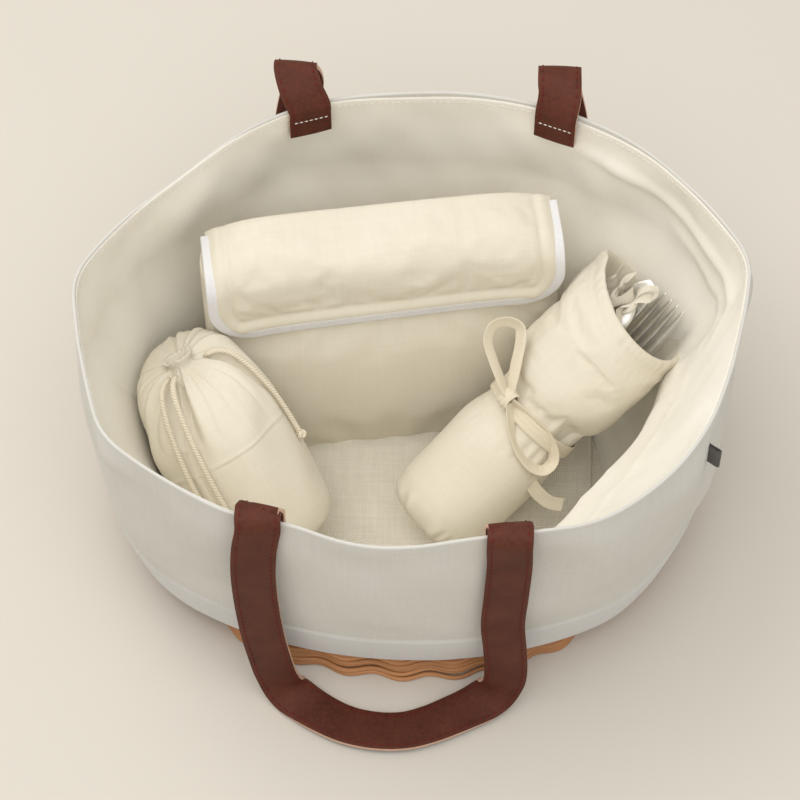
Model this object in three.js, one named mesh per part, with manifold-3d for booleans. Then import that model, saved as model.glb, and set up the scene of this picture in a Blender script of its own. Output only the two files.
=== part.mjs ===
// Picnic basket: a willow tray with a canvas upper, a cloth lining, two strap
// handles and its picnic set: a padded plate pouch, a drawstring bag and a cutlery roll.
// Millimetres, +Z up, origin on the ground under the middle of the basket, front at -Y.
import * as THREE from "three";
import { mergeVertices } from "three/addons/utils/BufferGeometryUtils.js";
import Module from "manifold-3d";

const wasm = await Module();
wasm.setup();

// Driving dimensions of the basket
const RIM_HALF_WIDTH = 230;
const RIM_HALF_DEPTH = 181;
const RIM_HEIGHT = 245;
const TRAY_HALF_WIDTH = 191;
const TRAY_HALF_DEPTH = 150;
const TRAY_HEIGHT = 97;
const TRAY_FLARE = 9;
const CLOTH = 2.4;
const LINING_CLOTH = 1.6;
const HEM_DEPTH = 13;
const SKIRT_HEIGHT = 31;
const SKIRT_CLEARANCE = 1.2;
const CORNER_ANGLE = THREE.MathUtils.degToRad(45);
const GAP = 0.3;

// Willow
const STAKES = 32;
const STAKE_RADIUS = 3;
const WEAVE_CLEARANCE = 0.8;
const ROD = 5.4;
const FLOOR_THICKNESS = 5;
const FOOT_RODS = 4;
const SIDING_RODS = [4, 3, 3];
const BORDER_RADIUS = 6;

// Handles
const STRAP_WIDTH = 30;
const STRAP_THICKNESS = 3;
const HANDLE_HALF_SPACING = 87;
const TAB_LENGTH = 28;
const TAB_STANDOFF = 3.8;
const FRONT_ARCH = 9;
const REAR_ARCH = 21;
const GRIP_FORWARD = 23;

// Floor pad
const PAD_HALF_WIDTH = 134;
const PAD_HALF_DEPTH = 112;
const PAD_THICKNESS = 5;

// Plate pouch
const POUCH_WIDTH = 258;
const POUCH_HEIGHT = 178;
const POUCH_DEPTH = 40;
const POUCH_PANEL = 9;
const POUCH_BEVEL = 3;
const POUCH_LEAN = THREE.MathUtils.degToRad(15);
const POUCH_TURN = THREE.MathUtils.degToRad(9);
const POUCH_X = -20;
const POUCH_Y = 26;
const POUCH_CORNER = 16;
const FLAP_THICKNESS = 8;
const FLAP_DROP = 52;
const FLAP_CORNER = 34;
const BINDING_WIDTH = 8;

// Drawstring bag
const BAG_RADIUS = 48;
const BAG_LENGTH = 150;
const BAG_NECK_RADIUS = 13;
const BAG_PLEATS = 14;
const BAG_FOOT = [-91, -74];
const BAG_AXIS = new THREE.Vector3(-73, 84, 110).normalize();
const CORD_DIAMETER = 4;

// Cutlery roll
const ROLL_LENGTH = 222;
const ROLL_FOOT_RADIUS = 33;
const ROLL_TIE_RADIUS = 31;
const ROLL_MOUTH_RADIUS = 41;
const ROLL_WALL = 5;
const ROLL_TIE_AT = 106;
const ROLL_FOOT = [14, -55];
const ROLL_AXIS = new THREE.Vector3(154, 124, 119).normalize();
const TAPE_WIDTH = 12;
const TAPE_THICKNESS = 1.2;
const KNOT_HALF = 9;
const BOW_LOOP = 52;
const BOW_TAIL = 50;
const CUTLERY_THICKNESS = 2.2;
const FORK_LENGTH = 208;
const SPOON_LENGTH = 190;
const KNIFE_LENGTH = 211;
const NAPKIN_HALF = 32;

// Side tab sewn in below the rim
const TAG_ANGLE = THREE.MathUtils.degToRad(-28.5);
const TAG_HEIGHT = 20;
const TAG_REACH = 10;
const TAG_THICKNESS = 2.4;
const TAG_BELOW_RIM = 34;

// Finishes
const finish = (color, roughness, metalness = 0) =>
  new THREE.MeshStandardMaterial({ color, roughness, metalness });
const WILLOW = finish(0xa5663a, 0.7);
const CANVAS = finish(0xe9e6df, 0.9);
const LINING = finish(0xe3dac6, 0.92);
const LINEN = finish(0xd9cfba, 0.95);
const LEATHER = finish(0x5a2a1c, 0.55);
const COTTON = finish(0xe8dfc8, 0.93);
const BINDING = finish(0xf0eef0, 0.85);
const CORD = finish(0xe6d7b8, 0.9);
const STEEL = finish(0xc9c4ba, 0.2, 1);
const TAG = finish(0x2b2725, 0.8);

const part = new THREE.Group();
const up = new THREE.Vector3(0, 0, 1);
const vec = (x, y, z) => new THREE.Vector3(x, y, z);

// Meshes from rings, ribbons and tubes

function geometryOf(points, triangles) {
  const geometry = new THREE.BufferGeometry();
  geometry.setAttribute(
    "position",
    new THREE.Float32BufferAttribute(points.flatMap((p) => [p.x, p.y, p.z]), 3),
  );
  geometry.setIndex(triangles);
  return geometry;
}

// Skins rings of equal point counts into a closed solid. A ring of one point is a pole.
// With closed set, the last ring joins the first; otherwise the end rings are capped.
function skin(rings, closed = false) {
  const starts = [];
  const points = [];
  for (const ring of rings) {
    starts.push(points.length);
    points.push(...ring);
  }
  const triangles = [];
  const links = closed ? rings.length : rings.length - 1;
  for (let i = 0; i < links; i++) {
    const a = rings[i];
    const b = rings[(i + 1) % rings.length];
    const ia = starts[i];
    const ib = starts[(i + 1) % rings.length];
    const count = Math.max(a.length, b.length);
    for (let j = 0; j < count; j++) {
      const k = (j + 1) % count;
      if (b.length === 1) triangles.push(ia + j, ia + k, ib);
      else if (a.length === 1) triangles.push(ia, ib + k, ib + j);
      else triangles.push(ia + j, ia + k, ib + k, ia + j, ib + k, ib + j);
    }
  }
  if (!closed) {
    capRing(rings[0], starts[0], triangles, true);
    capRing(rings.at(-1), starts.at(-1), triangles, false);
  }
  return facingOut(geometryOf(points, triangles));
}

// Caps an end ring by pairing its points from both ends, which suits a thin bent strip too
function capRing(ring, start, triangles, flipped) {
  const cap = (a, b, c) => triangles.push(start + a, start + (flipped ? c : b), start + (flipped ? b : c));
  for (let j = 0, k = ring.length - 1; j + 1 < k; j++, k--) {
    cap(j, j + 1, k);
    if (j + 1 < k - 1) cap(j + 1, k - 1, k);
  }
}

function facingOut(geometry) {
  const p = geometry.getAttribute("position");
  const index = geometry.getIndex().array;
  const corner = (k) => vec(p.getX(index[k]), p.getY(index[k]), p.getZ(index[k]));
  let volume = 0;
  for (let i = 0; i < index.length; i += 3) {
    volume += corner(i).dot(corner(i + 1).cross(corner(i + 2)));
  }
  if (volume < 0) {
    for (let i = 0; i < index.length; i += 3) {
      [index[i + 1], index[i + 2]] = [index[i + 2], index[i + 1]];
    }
  }
  return geometry;
}

// A point on an oval, at an angle that runs from +X towards +Y
const onOval = (halfWidth, halfDepth, angle, z) =>
  vec(halfWidth * Math.cos(angle), halfDepth * Math.sin(angle), z);

// An oval turned form. Each profile entry is [half width, half depth, height].
function ovalLathe(profile, steps, closed = false) {
  const rings = profile.map(([w, d, z]) => {
    if (w === 0) return [vec(0, 0, z)];
    return Array.from({ length: steps }, (_, i) => onOval(w, d, (i / steps) * 2 * Math.PI, z));
  });
  return skin(rings, closed);
}

// A stretch of an oval wall between two angles. The outer and inner profiles both run upwards.
function ovalPanel(outer, inner, from, to, steps) {
  const profile = [...outer, ...[...inner].reverse()];
  const rings = Array.from({ length: steps + 1 }, (_, i) => {
    const angle = from + ((to - from) * i) / steps;
    return profile.map(([w, d, z]) => onOval(w, d, angle, z));
  });
  return skin(rings);
}

// A flat band along stations { at, out, half, cup, along }. The band is columns wide and
// lies square to out; cup sinks its middle, as a spoon's bowl does, and along fixes the
// way an end face looks.
function ribbon(stations, thickness, columns = 1) {
  const rings = stations.map((station, i) => {
    const before = stations[Math.max(i - 1, 0)].at;
    const after = stations[Math.min(i + 1, stations.length - 1)].at;
    const along = station.along ?? after.clone().sub(before).normalize();
    const across = along.clone().cross(station.out).normalize();
    const out = across.clone().cross(along).normalize();
    const row = (side) =>
      Array.from({ length: columns + 1 }, (_, c) => {
        const x = ((2 * c) / columns - 1) * side;
        const sink = (station.cup ?? 0) * (1 - x * x);
        return station.at
          .clone()
          .addScaledVector(across, x * station.half)
          .addScaledVector(out, (side * thickness) / 2 - sink);
      });
    return [...row(1), ...row(-1)];
  });
  return skin(rings);
}

// A round tube along a smooth route
function tube(route, diameter, sides, steps) {
  const circle = new THREE.Shape();
  for (let i = 0; i < sides; i++) {
    const a = (i / sides) * 2 * Math.PI;
    const place = [(diameter / 2) * Math.cos(a), (diameter / 2) * Math.sin(a)];
    if (i === 0) circle.moveTo(...place);
    else circle.lineTo(...place);
  }
  circle.closePath();
  const extrudePath = new THREE.CatmullRomCurve3(route);
  return new THREE.ExtrudeGeometry(circle, { steps, extrudePath, curveSegments: 1 });
}

// A rectangle with round corners, standing on y = 0
function roundedRectangle(width, height, lower, upper, Kind = THREE.Shape) {
  const w = width / 2;
  const shape = new Kind();
  shape.moveTo(-w + lower, 0);
  shape.lineTo(w - lower, 0);
  shape.absarc(w - lower, lower, lower, -Math.PI / 2, 0, false);
  shape.lineTo(w, height - upper);
  shape.absarc(w - upper, height - upper, upper, 0, Math.PI / 2, false);
  shape.lineTo(-w + upper, height);
  shape.absarc(-w + upper, height - upper, upper, Math.PI / 2, Math.PI, false);
  shape.lineTo(-w, lower);
  shape.absarc(-w + lower, lower, lower, Math.PI, 1.5 * Math.PI, false);
  return shape;
}

// Joins of solids

function solidOf(geometry) {
  const bare = geometry.clone();
  bare.deleteAttribute("normal");
  bare.deleteAttribute("uv");
  const merged = mergeVertices(bare, 1e-4);
  return new wasm.Manifold(
    new wasm.Mesh({
      numProp: 3,
      vertProperties: merged.attributes.position.array,
      triVerts: new Uint32Array(merged.index.array),
    }),
  );
}

function joined(geometries) {
  const solid = geometries.map(solidOf).reduce((sum, next) => sum.add(next));
  const mesh = solid.getMesh();
  const geometry = new THREE.BufferGeometry();
  geometry.setAttribute("position", new THREE.Float32BufferAttribute(mesh.vertProperties, 3));
  geometry.setIndex([...mesh.triVerts]);
  return geometry;
}

function add(parent, name, geometry, material) {
  const mesh = new THREE.Mesh(geometry, material);
  mesh.name = name;
  parent.add(mesh);
  return mesh;
}

// Lifts a group until its lowest point is at the given height
function seatOn(group, height) {
  group.position.z = 0;
  const box = new THREE.Box3().setFromObject(group, true);
  group.position.z = height - box.min.z;
}

// Willow tray

const trayLeanAt = (z) => (TRAY_FLARE * z) / TRAY_HEIGHT;
const BAND_THICKNESS = ROD - 0.2;
const WEAVE_SWING = STAKE_RADIUS + BAND_THICKNESS / 2 + WEAVE_CLEARANCE;
const WEAVE_REACH = WEAVE_SWING + BAND_THICKNESS / 2;

// A bundle of rods that passes outside one stake and inside the next
function weaveBand(bottom, rods, phase, stepsPerStake, ribbed) {
  const height = rods * ROD - GAP;
  const half = BAND_THICKNESS / 2;
  const outer = ribbed
    ? Array.from({ length: 2 * rods + 1 }, (_, i) => [i % 2 ? half : half * 0.45, (i * height) / (2 * rods)])
    : [[half, 0], [half, height]];
  const profile = [...outer, [-half, height], [-half, 0]];
  const steps = STAKES * stepsPerStake;
  const rings = Array.from({ length: steps }, (_, i) => {
    const angle = (i / steps) * 2 * Math.PI;
    const swing = WEAVE_SWING * Math.cos((i / stepsPerStake + phase) * Math.PI);
    return profile.map(([r, z]) => {
      const reach = trayLeanAt(bottom + z) + swing + r;
      return onOval(TRAY_HALF_WIDTH + reach, TRAY_HALF_DEPTH + reach, angle, bottom + z);
    });
  });
  return skin(rings, true);
}

function buildTray() {
  const floorWidth = TRAY_HALF_WIDTH + 1;
  const floorDepth = TRAY_HALF_DEPTH + 1;
  const plate = [
    [0, 0, 0],
    [floorWidth, floorDepth, 0],
    [floorWidth, floorDepth, FLOOR_THICKNESS],
    [0, 0, FLOOR_THICKNESS],
  ];
  add(part, "willow_floor", ovalLathe(plate, 48), WILLOW);

  let bottom = FLOOR_THICKNESS + GAP;
  const stakeFoot = bottom;
  add(part, "willow_foot_wale", weaveBand(bottom, FOOT_RODS, 0, 3, true), WILLOW);
  bottom += FOOT_RODS * ROD;
  SIDING_RODS.forEach((rods, i) => {
    const band = weaveBand(bottom, rods, i + 1, 2, false);
    add(part, `willow_siding_${i + 1}`, band, WILLOW);
    bottom += rods * ROD;
  });

  // The stakes bend over into the rolled border that finishes the tray.
  const borderCentre = bottom + BORDER_RADIUS;
  const lean = trayLeanAt(borderCentre);
  const borderRing = Array.from({ length: 6 }, (_, i) => {
    const a = ((i + 0.5) / 6) * 2 * Math.PI;
    const r = lean + BORDER_RADIUS * Math.cos(a);
    return [TRAY_HALF_WIDTH + r, TRAY_HALF_DEPTH + r, borderCentre + BORDER_RADIUS * Math.sin(a)];
  });
  const solids = [ovalLathe(borderRing, 48, true)];
  for (let k = 0; k < STAKES; k++) {
    const angle = (k / STAKES) * 2 * Math.PI;
    const rings = [stakeFoot, borderCentre].map((z) => {
      const r = trayLeanAt(z);
      const centre = onOval(TRAY_HALF_WIDTH + r, TRAY_HALF_DEPTH + r, angle, z);
      return Array.from({ length: 5 }, (_, i) => {
        const a = (i / 5) * 2 * Math.PI;
        return centre.clone().add(vec(STAKE_RADIUS * Math.cos(a), STAKE_RADIUS * Math.sin(a), 0));
      });
    });
    solids.push(skin(rings));
  }
  add(part, "willow_stakes_and_border", joined(solids), WILLOW);
}

// Canvas upper, lining, rim hem and floor pad

// Reach of the canvas beyond the woven tray, eased from the skirt's hem up to the rim
function canvasAt(z) {
  const hem = TRAY_HALF_WIDTH + trayLeanAt(SKIRT_HEIGHT) + WEAVE_REACH + SKIRT_CLEARANCE + CLOTH;
  const hemDepth = TRAY_HALF_DEPTH + trayLeanAt(SKIRT_HEIGHT) + WEAVE_REACH + SKIRT_CLEARANCE + CLOTH;
  const rise = Math.min(1, (z - SKIRT_HEIGHT) / (RIM_HEIGHT - SKIRT_HEIGHT));
  const ease = 1 - (1 - rise) ** 2;
  return [
    hem + (RIM_HALF_WIDTH - hem) * ease,
    hemDepth + (RIM_HALF_DEPTH - hemDepth) * ease,
  ];
}
const CANVAS_TOP = RIM_HEIGHT - HEM_DEPTH;
const LINING_BOTTOM = FLOOR_THICKNESS + GAP;
const PAD_BOTTOM = LINING_BOTTOM + LINING_CLOTH + GAP;
const PAD_TOP = PAD_BOTTOM + PAD_THICKNESS;

// Adds the four panels of a cloth wall, sewn to each other at the corners of the oval
function addPanels(name, outer, thickness, material) {
  const inner = outer.map(([w, d, z]) => [w - thickness, d - thickness, z]);
  const seam = GAP / 2 / RIM_HALF_DEPTH;
  const corners = [-CORNER_ANGLE, CORNER_ANGLE, Math.PI - CORNER_ANGLE, Math.PI + CORNER_ANGLE];
  ["right", "back", "left", "front"].forEach((side, i) => {
    const from = corners[i] + seam;
    const to = (i === 3 ? corners[0] + 2 * Math.PI : corners[i + 1]) - seam;
    add(part, `${name}_${side}`, ovalPanel(outer, inner, from, to, 12), material);
  });
}

function buildUpper() {
  const levels = 5;
  const shoulder = 2;
  const heights = Array.from(
    { length: levels + 1 },
    (_, i) => SKIRT_HEIGHT + ((CANVAS_TOP - SKIRT_HEIGHT) * i) / levels,
  );
  addPanels("canvas", heights.map((z) => [...canvasAt(z), z]), CLOTH, CANVAS);

  // The lining stands inside the tray, then follows the canvas above the border.
  const insideTray = WEAVE_REACH + 0.8;
  const traySide = (z) => [
    TRAY_HALF_WIDTH + trayLeanAt(z) - insideTray,
    TRAY_HALF_DEPTH + trayLeanAt(z) - insideTray,
    z,
  ];
  const canvasSide = (z) => {
    const [w, d] = canvasAt(z);
    return [w - CLOTH - GAP, d - CLOTH - GAP, z];
  };
  const liningTop = LINING_BOTTOM + LINING_CLOTH;
  const [floorWidth, floorDepth] = traySide(LINING_BOTTOM);
  const floor = [
    [0, 0, LINING_BOTTOM],
    [floorWidth, floorDepth, LINING_BOTTOM],
    [floorWidth, floorDepth, liningTop],
    [0, 0, liningTop],
  ];
  add(part, "lining_floor", ovalLathe(floor, 48), LINING);
  const wall = [
    traySide(liningTop + GAP),
    traySide(TRAY_HEIGHT),
    ...heights.slice(shoulder).map(canvasSide),
  ];
  addPanels("lining", wall, LINING_CLOTH, LINING);

  // The rim hem folds both cloths over at the top edge.
  const hemBottom = CANVAS_TOP + GAP;
  const hemInner = CLOTH + GAP + LINING_CLOTH;
  const hem = [
    [RIM_HALF_WIDTH, RIM_HALF_DEPTH, hemBottom],
    [RIM_HALF_WIDTH, RIM_HALF_DEPTH, RIM_HEIGHT - 1],
    [RIM_HALF_WIDTH - hemInner / 2, RIM_HALF_DEPTH - hemInner / 2, RIM_HEIGHT],
    [RIM_HALF_WIDTH - hemInner, RIM_HALF_DEPTH - hemInner, RIM_HEIGHT - 1],
    [RIM_HALF_WIDTH - hemInner, RIM_HALF_DEPTH - hemInner, hemBottom],
  ];
  add(part, "rim_hem", ovalLathe(hem, 48, true), CANVAS);

  const corner = PAD_HALF_DEPTH * 0.55;
  const outline = roundedRectangle(2 * PAD_HALF_WIDTH, 2 * PAD_HALF_DEPTH, corner, corner);
  const bevel = 1.5;
  const pad = new THREE.ExtrudeGeometry(outline, {
    depth: PAD_THICKNESS - 2 * bevel,
    bevelThickness: bevel,
    bevelSize: bevel,
    bevelOffset: -bevel,
    bevelSegments: 1,
    curveSegments: 6,
  });
  pad.translate(0, -PAD_HALF_DEPTH, PAD_BOTTOM + bevel);
  add(part, "floor_pad", pad, LINEN);
}

function buildSideTag() {
  const z = RIM_HEIGHT - TAG_BELOW_RIM;
  const [w, d] = canvasAt(z + TAG_HEIGHT / 2);
  const root = onOval(w, d, TAG_ANGLE, z);
  const outward = vec(Math.cos(TAG_ANGLE) / w, Math.sin(TAG_ANGLE) / d, 0).normalize();
  const along = up.clone().cross(outward);
  const stations = [0.6, TAG_REACH].map((reach) => ({
    at: root.clone().addScaledVector(outward, reach),
    out: along,
    half: TAG_HEIGHT / 2,
  }));
  add(part, "side_tab", ribbon(stations, TAG_THICKNESS), TAG);
}

// Strap handles

// A quarter of the arch over the rim, from its top down to its foot at the rim, where the
// strap's face has turned to look along facing
function quarterArch(top, foot, facing) {
  const steps = 4;
  const rise = top.z - foot.z;
  const reach = foot.y - top.y;
  const start = vec(0, Math.sign(reach), 0);
  return Array.from({ length: steps + 1 }, (_, i) => {
    const a = (i / steps) * (Math.PI / 2);
    const turned = (1 - Math.cos(a)) ** 2;
    const x = top.x + (foot.x - top.x) * turned;
    const at = vec(x, top.y + reach * Math.sin(a), foot.z + rise * Math.cos(a));
    const side = start.clone().lerp(facing, turned).normalize();
    const out = side.clone().multiplyScalar(Math.sin(a) / Math.abs(reach));
    out.addScaledVector(up, Math.cos(a) / rise).normalize();
    const along = side.multiplyScalar(Math.cos(a) * Math.abs(reach));
    along.addScaledVector(up, -Math.sin(a) * rise).normalize();
    return { at, out, along };
  });
}

// One side of a handle, on the right: the sewn tab with its half of the arch over the rim,
// then the strap from the top of the arch down to the middle of the grip
function handleHalf(rise) {
  const share = HANDLE_HALF_SPACING / RIM_HALF_WIDTH;
  const rimY = -RIM_HALF_DEPTH * Math.sqrt(1 - share * share);
  const x = HANDLE_HALF_SPACING;
  const turn = Math.atan2(RIM_HALF_DEPTH * share, RIM_HALF_WIDTH * Math.sqrt(1 - share * share));
  const inside = vec(-Math.sin(turn), Math.cos(turn), 0);
  const wall = CLOTH + GAP + LINING_CLOTH;
  const sewn = vec(x, rimY, 0).addScaledVector(inside, wall + TAB_STANDOFF);
  const apexY = rimY + wall / 2;
  const hang = rimY - STRAP_THICKNESS / 2 - 5;
  const apex = (side) => vec(x, apexY + (side * GAP) / 2, RIM_HEIGHT + rise);
  // Where it leaves the arch, the tab has made most of its turn towards the wall.
  const turned = 0.7;
  const turning = vec(0, 1, 0).lerp(inside, turned).normalize();
  const leaving = vec(x + (sewn.x - x) * turned, sewn.y, RIM_HEIGHT + 3.6);
  const tab = [
    ...quarterArch(apex(1), leaving, turning),
    ...[8, TAB_LENGTH].map((below) => ({
      at: sewn.clone().setZ(RIM_HEIGHT - below),
      out: inside,
      along: up.clone().negate(),
    })),
  ];
  const front = vec(0, -1, 0);
  const arch = quarterArch(apex(-1), vec(x, hang, RIM_HEIGHT), front);
  const fall = [
    [vec(x, hang, RIM_HEIGHT), front],
    [vec(x + 8, hang - 1.5, 0.8 * RIM_HEIGHT), front],
    [vec(x + 12, hang - 1, 0.56 * RIM_HEIGHT), front],
    [vec(x + 10, hang, 0.3 * RIM_HEIGHT), front],
    [vec(x + 3, hang - 0.5, 44), vec(0, -0.97, 0.25)],
    [vec(x - 9, hang - 6, 24), vec(0, -0.8, 0.6)],
    [vec(x - 30, hang - 18, 14), vec(0, -0.6, 0.8)],
    [vec(x - 58, hang - 27, 10), vec(0, -0.5, 0.87)],
    [vec(0, rimY - 14 - GRIP_FORWARD, 9.4), vec(0, -0.5, 0.87)],
  ];
  const across = ([at, out]) => [vec(-at.x, at.y, at.z), out];
  const whole = [...fall, ...fall.slice(0, -1).reverse().map(across)];
  const middle = new THREE.CatmullRomCurve3(whole.map(([at]) => at), false, "centripetal");
  const facing = new THREE.CatmullRomCurve3(whole.map(([, out]) => out), false, "centripetal");
  const steps = 2 * (fall.length - 1);
  const hanging = Array.from({ length: steps }, (_, i) => ({
    at: middle.getPoint((i + 1) / (2 * steps)),
    out: facing.getPoint((i + 1) / (2 * steps)).normalize(),
  }));
  return { tab, strap: [...arch, ...hanging] };
}

const strapBand = (stations) =>
  ribbon(stations.map((station) => ({ ...station, half: STRAP_WIDTH / 2 })), STRAP_THICKNESS);

const mirrored = (stations) =>
  stations.map((station) =>
    Object.fromEntries(Object.entries(station).map(([key, v]) => [key, vec(-v.x, v.y, v.z)])),
  );

// The far end of a band runs the other way, so a fixed end face turns about
const reversed = (stations) =>
  [...stations].reverse().map((station) =>
    station.along ? { ...station, along: station.along.clone().negate() } : station,
  );

function buildHandle(place, rise) {
  const group = new THREE.Group();
  const { tab, strap } = handleHalf(rise);
  const whole = [...mirrored(strap), ...reversed(strap.slice(0, -1))];
  add(group, `${place}_handle_strap`, strapBand(whole), LEATHER);
  add(group, `${place}_handle_tab_left`, strapBand(mirrored(tab)), LEATHER);
  add(group, `${place}_handle_tab_right`, strapBand(tab), LEATHER);
  if (place === "rear") group.rotation.z = Math.PI;
  part.add(group);
}

// Padded plate pouch

// Shears upright pouch pieces so that they lean back while their feet stay level
function leaned(geometry) {
  const slope = Math.tan(POUCH_LEAN);
  return geometry.applyMatrix4(new THREE.Matrix4().makeShear(0, 0, 0, 0, 0, slope));
}

function paddedPanel(width, height, thickness, corner) {
  const bevel = POUCH_BEVEL;
  const outline = roundedRectangle(width, height, corner, corner * 0.4);
  const panel = new THREE.ExtrudeGeometry(outline, {
    depth: thickness - 2 * bevel,
    bevelThickness: bevel,
    bevelSize: bevel,
    bevelOffset: -bevel,
    bevelSegments: 1,
    curveSegments: 3,
  });
  return panel.rotateX(Math.PI / 2).translate(0, thickness - bevel, 0);
}

function pouchGusset() {
  const inset = 0.5;
  const wall = 9;
  const w = POUCH_WIDTH / 2 - inset;
  const inner = w - wall;
  const top = POUCH_HEIGHT;
  const round = POUCH_CORNER - 4;
  const strip = new THREE.Shape();
  strip.moveTo(-w, top);
  strip.lineTo(-w, POUCH_CORNER);
  strip.absarc(-w + POUCH_CORNER, POUCH_CORNER, POUCH_CORNER, Math.PI, 1.5 * Math.PI, false);
  strip.lineTo(w - POUCH_CORNER, 0);
  strip.absarc(w - POUCH_CORNER, POUCH_CORNER, POUCH_CORNER, -Math.PI / 2, 0, false);
  strip.lineTo(w, top);
  strip.lineTo(inner, top);
  strip.lineTo(inner, wall + round);
  strip.absarc(inner - round, wall + round, round, 0, -Math.PI / 2, true);
  strip.lineTo(-inner + round, wall);
  strip.absarc(-inner + round, wall + round, round, 1.5 * Math.PI, Math.PI, true);
  strip.lineTo(-inner, top);
  strip.closePath();
  const depth = POUCH_DEPTH - 2 * (POUCH_PANEL + GAP);
  const gusset = new THREE.ExtrudeGeometry(strip, { depth, bevelEnabled: false, curveSegments: 3 });
  return gusset.rotateX(Math.PI / 2).translate(0, POUCH_PANEL + GAP + depth, 0);
}

// The flap's side line: from its seam on the back panel, over the mouth, round the front
// panel's top edge and down its face
function flapRoute() {
  const reach = GAP + 0.3 + FLAP_THICKNESS / 2;
  const round = POUCH_BEVEL + reach;
  const centre = vec(0, POUCH_BEVEL, POUCH_HEIGHT - POUCH_BEVEL);
  const bend = Array.from({ length: 4 }, (_, i) => {
    const a = (i / 3) * (Math.PI / 2);
    return centre.clone().add(vec(0, -round * Math.sin(a), round * Math.cos(a)));
  });
  const over = POUCH_HEIGHT + reach;
  const points = [
    vec(0, POUCH_DEPTH - 1, over),
    vec(0, POUCH_DEPTH * 0.55, over + 0.4),
    ...bend,
    vec(0, -reach, over - FLAP_DROP * 0.65),
    vec(0, -reach, over - FLAP_DROP),
  ];
  return new THREE.CatmullRomCurve3(points, false, "centripetal");
}

// A place on the flap: x across it, s along it from the seam
function onFlap(route, x, s) {
  const length = route.getLength();
  const t = Math.min(s / length, 1);
  const along = route.getTangentAt(t);
  const at = route.getPointAt(t).addScaledVector(along, Math.max(0, s - length)).setX(x);
  return { at, out: vec(1, 0, 0).cross(along) };
}

// Half the flap's width along it: straight sides that round into its lower edge
function flapHalf(left) {
  const inCorner = Math.min(1, Math.max(0, FLAP_CORNER - left) / FLAP_CORNER);
  return POUCH_WIDTH / 2 - FLAP_CORNER * (1 - Math.sqrt(1 - inCorner ** 2));
}

function buildFlap(group) {
  const route = flapRoute();
  const length = route.getLength();
  const steps = 16;
  const places = Array.from({ length: steps + 1 }, (_, i) => length * (1 - (1 - i / steps) ** 1.6));
  const stations = places.map((s) => ({ ...onFlap(route, 0, s), half: flapHalf(length - s) }));
  add(group, "pouch_flap", leaned(ribbon(stations, FLAP_THICKNESS)), COTTON);

  // White tape bound round the flap's free edge, a little off the edge all the way
  const side = places.slice(1).map((s) => new THREE.Vector2(flapHalf(length - s), s));
  const turned = side.map((p) => new THREE.Vector2(-p.x, p.y)).reverse();
  const outline = [...side, new THREE.Vector2(0, length), ...turned];
  const offset = GAP + 0.2 + BINDING_WIDTH / 2;
  const tape = outline.map((p, i) => {
    const before = outline[Math.max(i - 1, 0)];
    const after = outline[Math.min(i + 1, outline.length - 1)];
    const run = after.clone().sub(before).normalize();
    const edge = p.clone().add(new THREE.Vector2(run.y, -run.x).multiplyScalar(offset));
    return { ...onFlap(route, edge.x, edge.y), half: BINDING_WIDTH / 2 };
  });
  add(group, "flap_binding", leaned(ribbon(tape, FLAP_THICKNESS * 0.8)), BINDING);
}

function buildPouch() {
  const group = new THREE.Group();
  const corner = POUCH_CORNER;
  const front = paddedPanel(POUCH_WIDTH, POUCH_HEIGHT, POUCH_PANEL, corner);
  const back = paddedPanel(POUCH_WIDTH, POUCH_HEIGHT, POUCH_PANEL, corner);
  back.translate(0, POUCH_DEPTH - POUCH_PANEL, 0);
  add(group, "pouch_front_panel", leaned(front), COTTON);
  add(group, "pouch_back_panel", leaned(back), COTTON);
  add(group, "pouch_gusset", leaned(pouchGusset()), COTTON);
  buildFlap(group);
  group.position.set(POUCH_X, POUCH_Y, PAD_TOP + GAP);
  group.rotation.z = POUCH_TURN;
  part.add(group);
}

// Drawstring bag

function turnTo(group, axis) {
  const sideways = up.clone().cross(axis).normalize();
  const upward = axis.clone().cross(sideways);
  group.setRotationFromMatrix(new THREE.Matrix4().makeBasis(sideways, upward, axis));
}

// The bag's outline: height along it, radius, and depth of the pleats there
const BAG_OUTLINE = [
  [0, BAG_RADIUS * 0.72, 0],
  [5, BAG_RADIUS * 0.92, 0],
  [16, BAG_RADIUS, 0],
  [BAG_LENGTH * 0.55, BAG_RADIUS, 0],
  [BAG_LENGTH * 0.76, BAG_RADIUS * 0.86, 0.03],
  [BAG_LENGTH * 0.92, BAG_RADIUS * 0.55, 0.12],
  [BAG_LENGTH, BAG_NECK_RADIUS, 0.2],
  [BAG_LENGTH + 11, BAG_NECK_RADIUS * 1.55, 0.22],
  [BAG_LENGTH + 13, BAG_NECK_RADIUS * 1.2, 0.2],
];

function bagRadius(h) {
  const i = BAG_OUTLINE.findIndex(([top]) => top > h);
  const [h0, r0, p0] = BAG_OUTLINE[i - 1];
  const [h1, r1, p1] = BAG_OUTLINE[i];
  const t = (h - h0) / (h1 - h0);
  return (r0 + (r1 - r0) * t) * (1 + p0 + (p1 - p0) * t);
}

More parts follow.
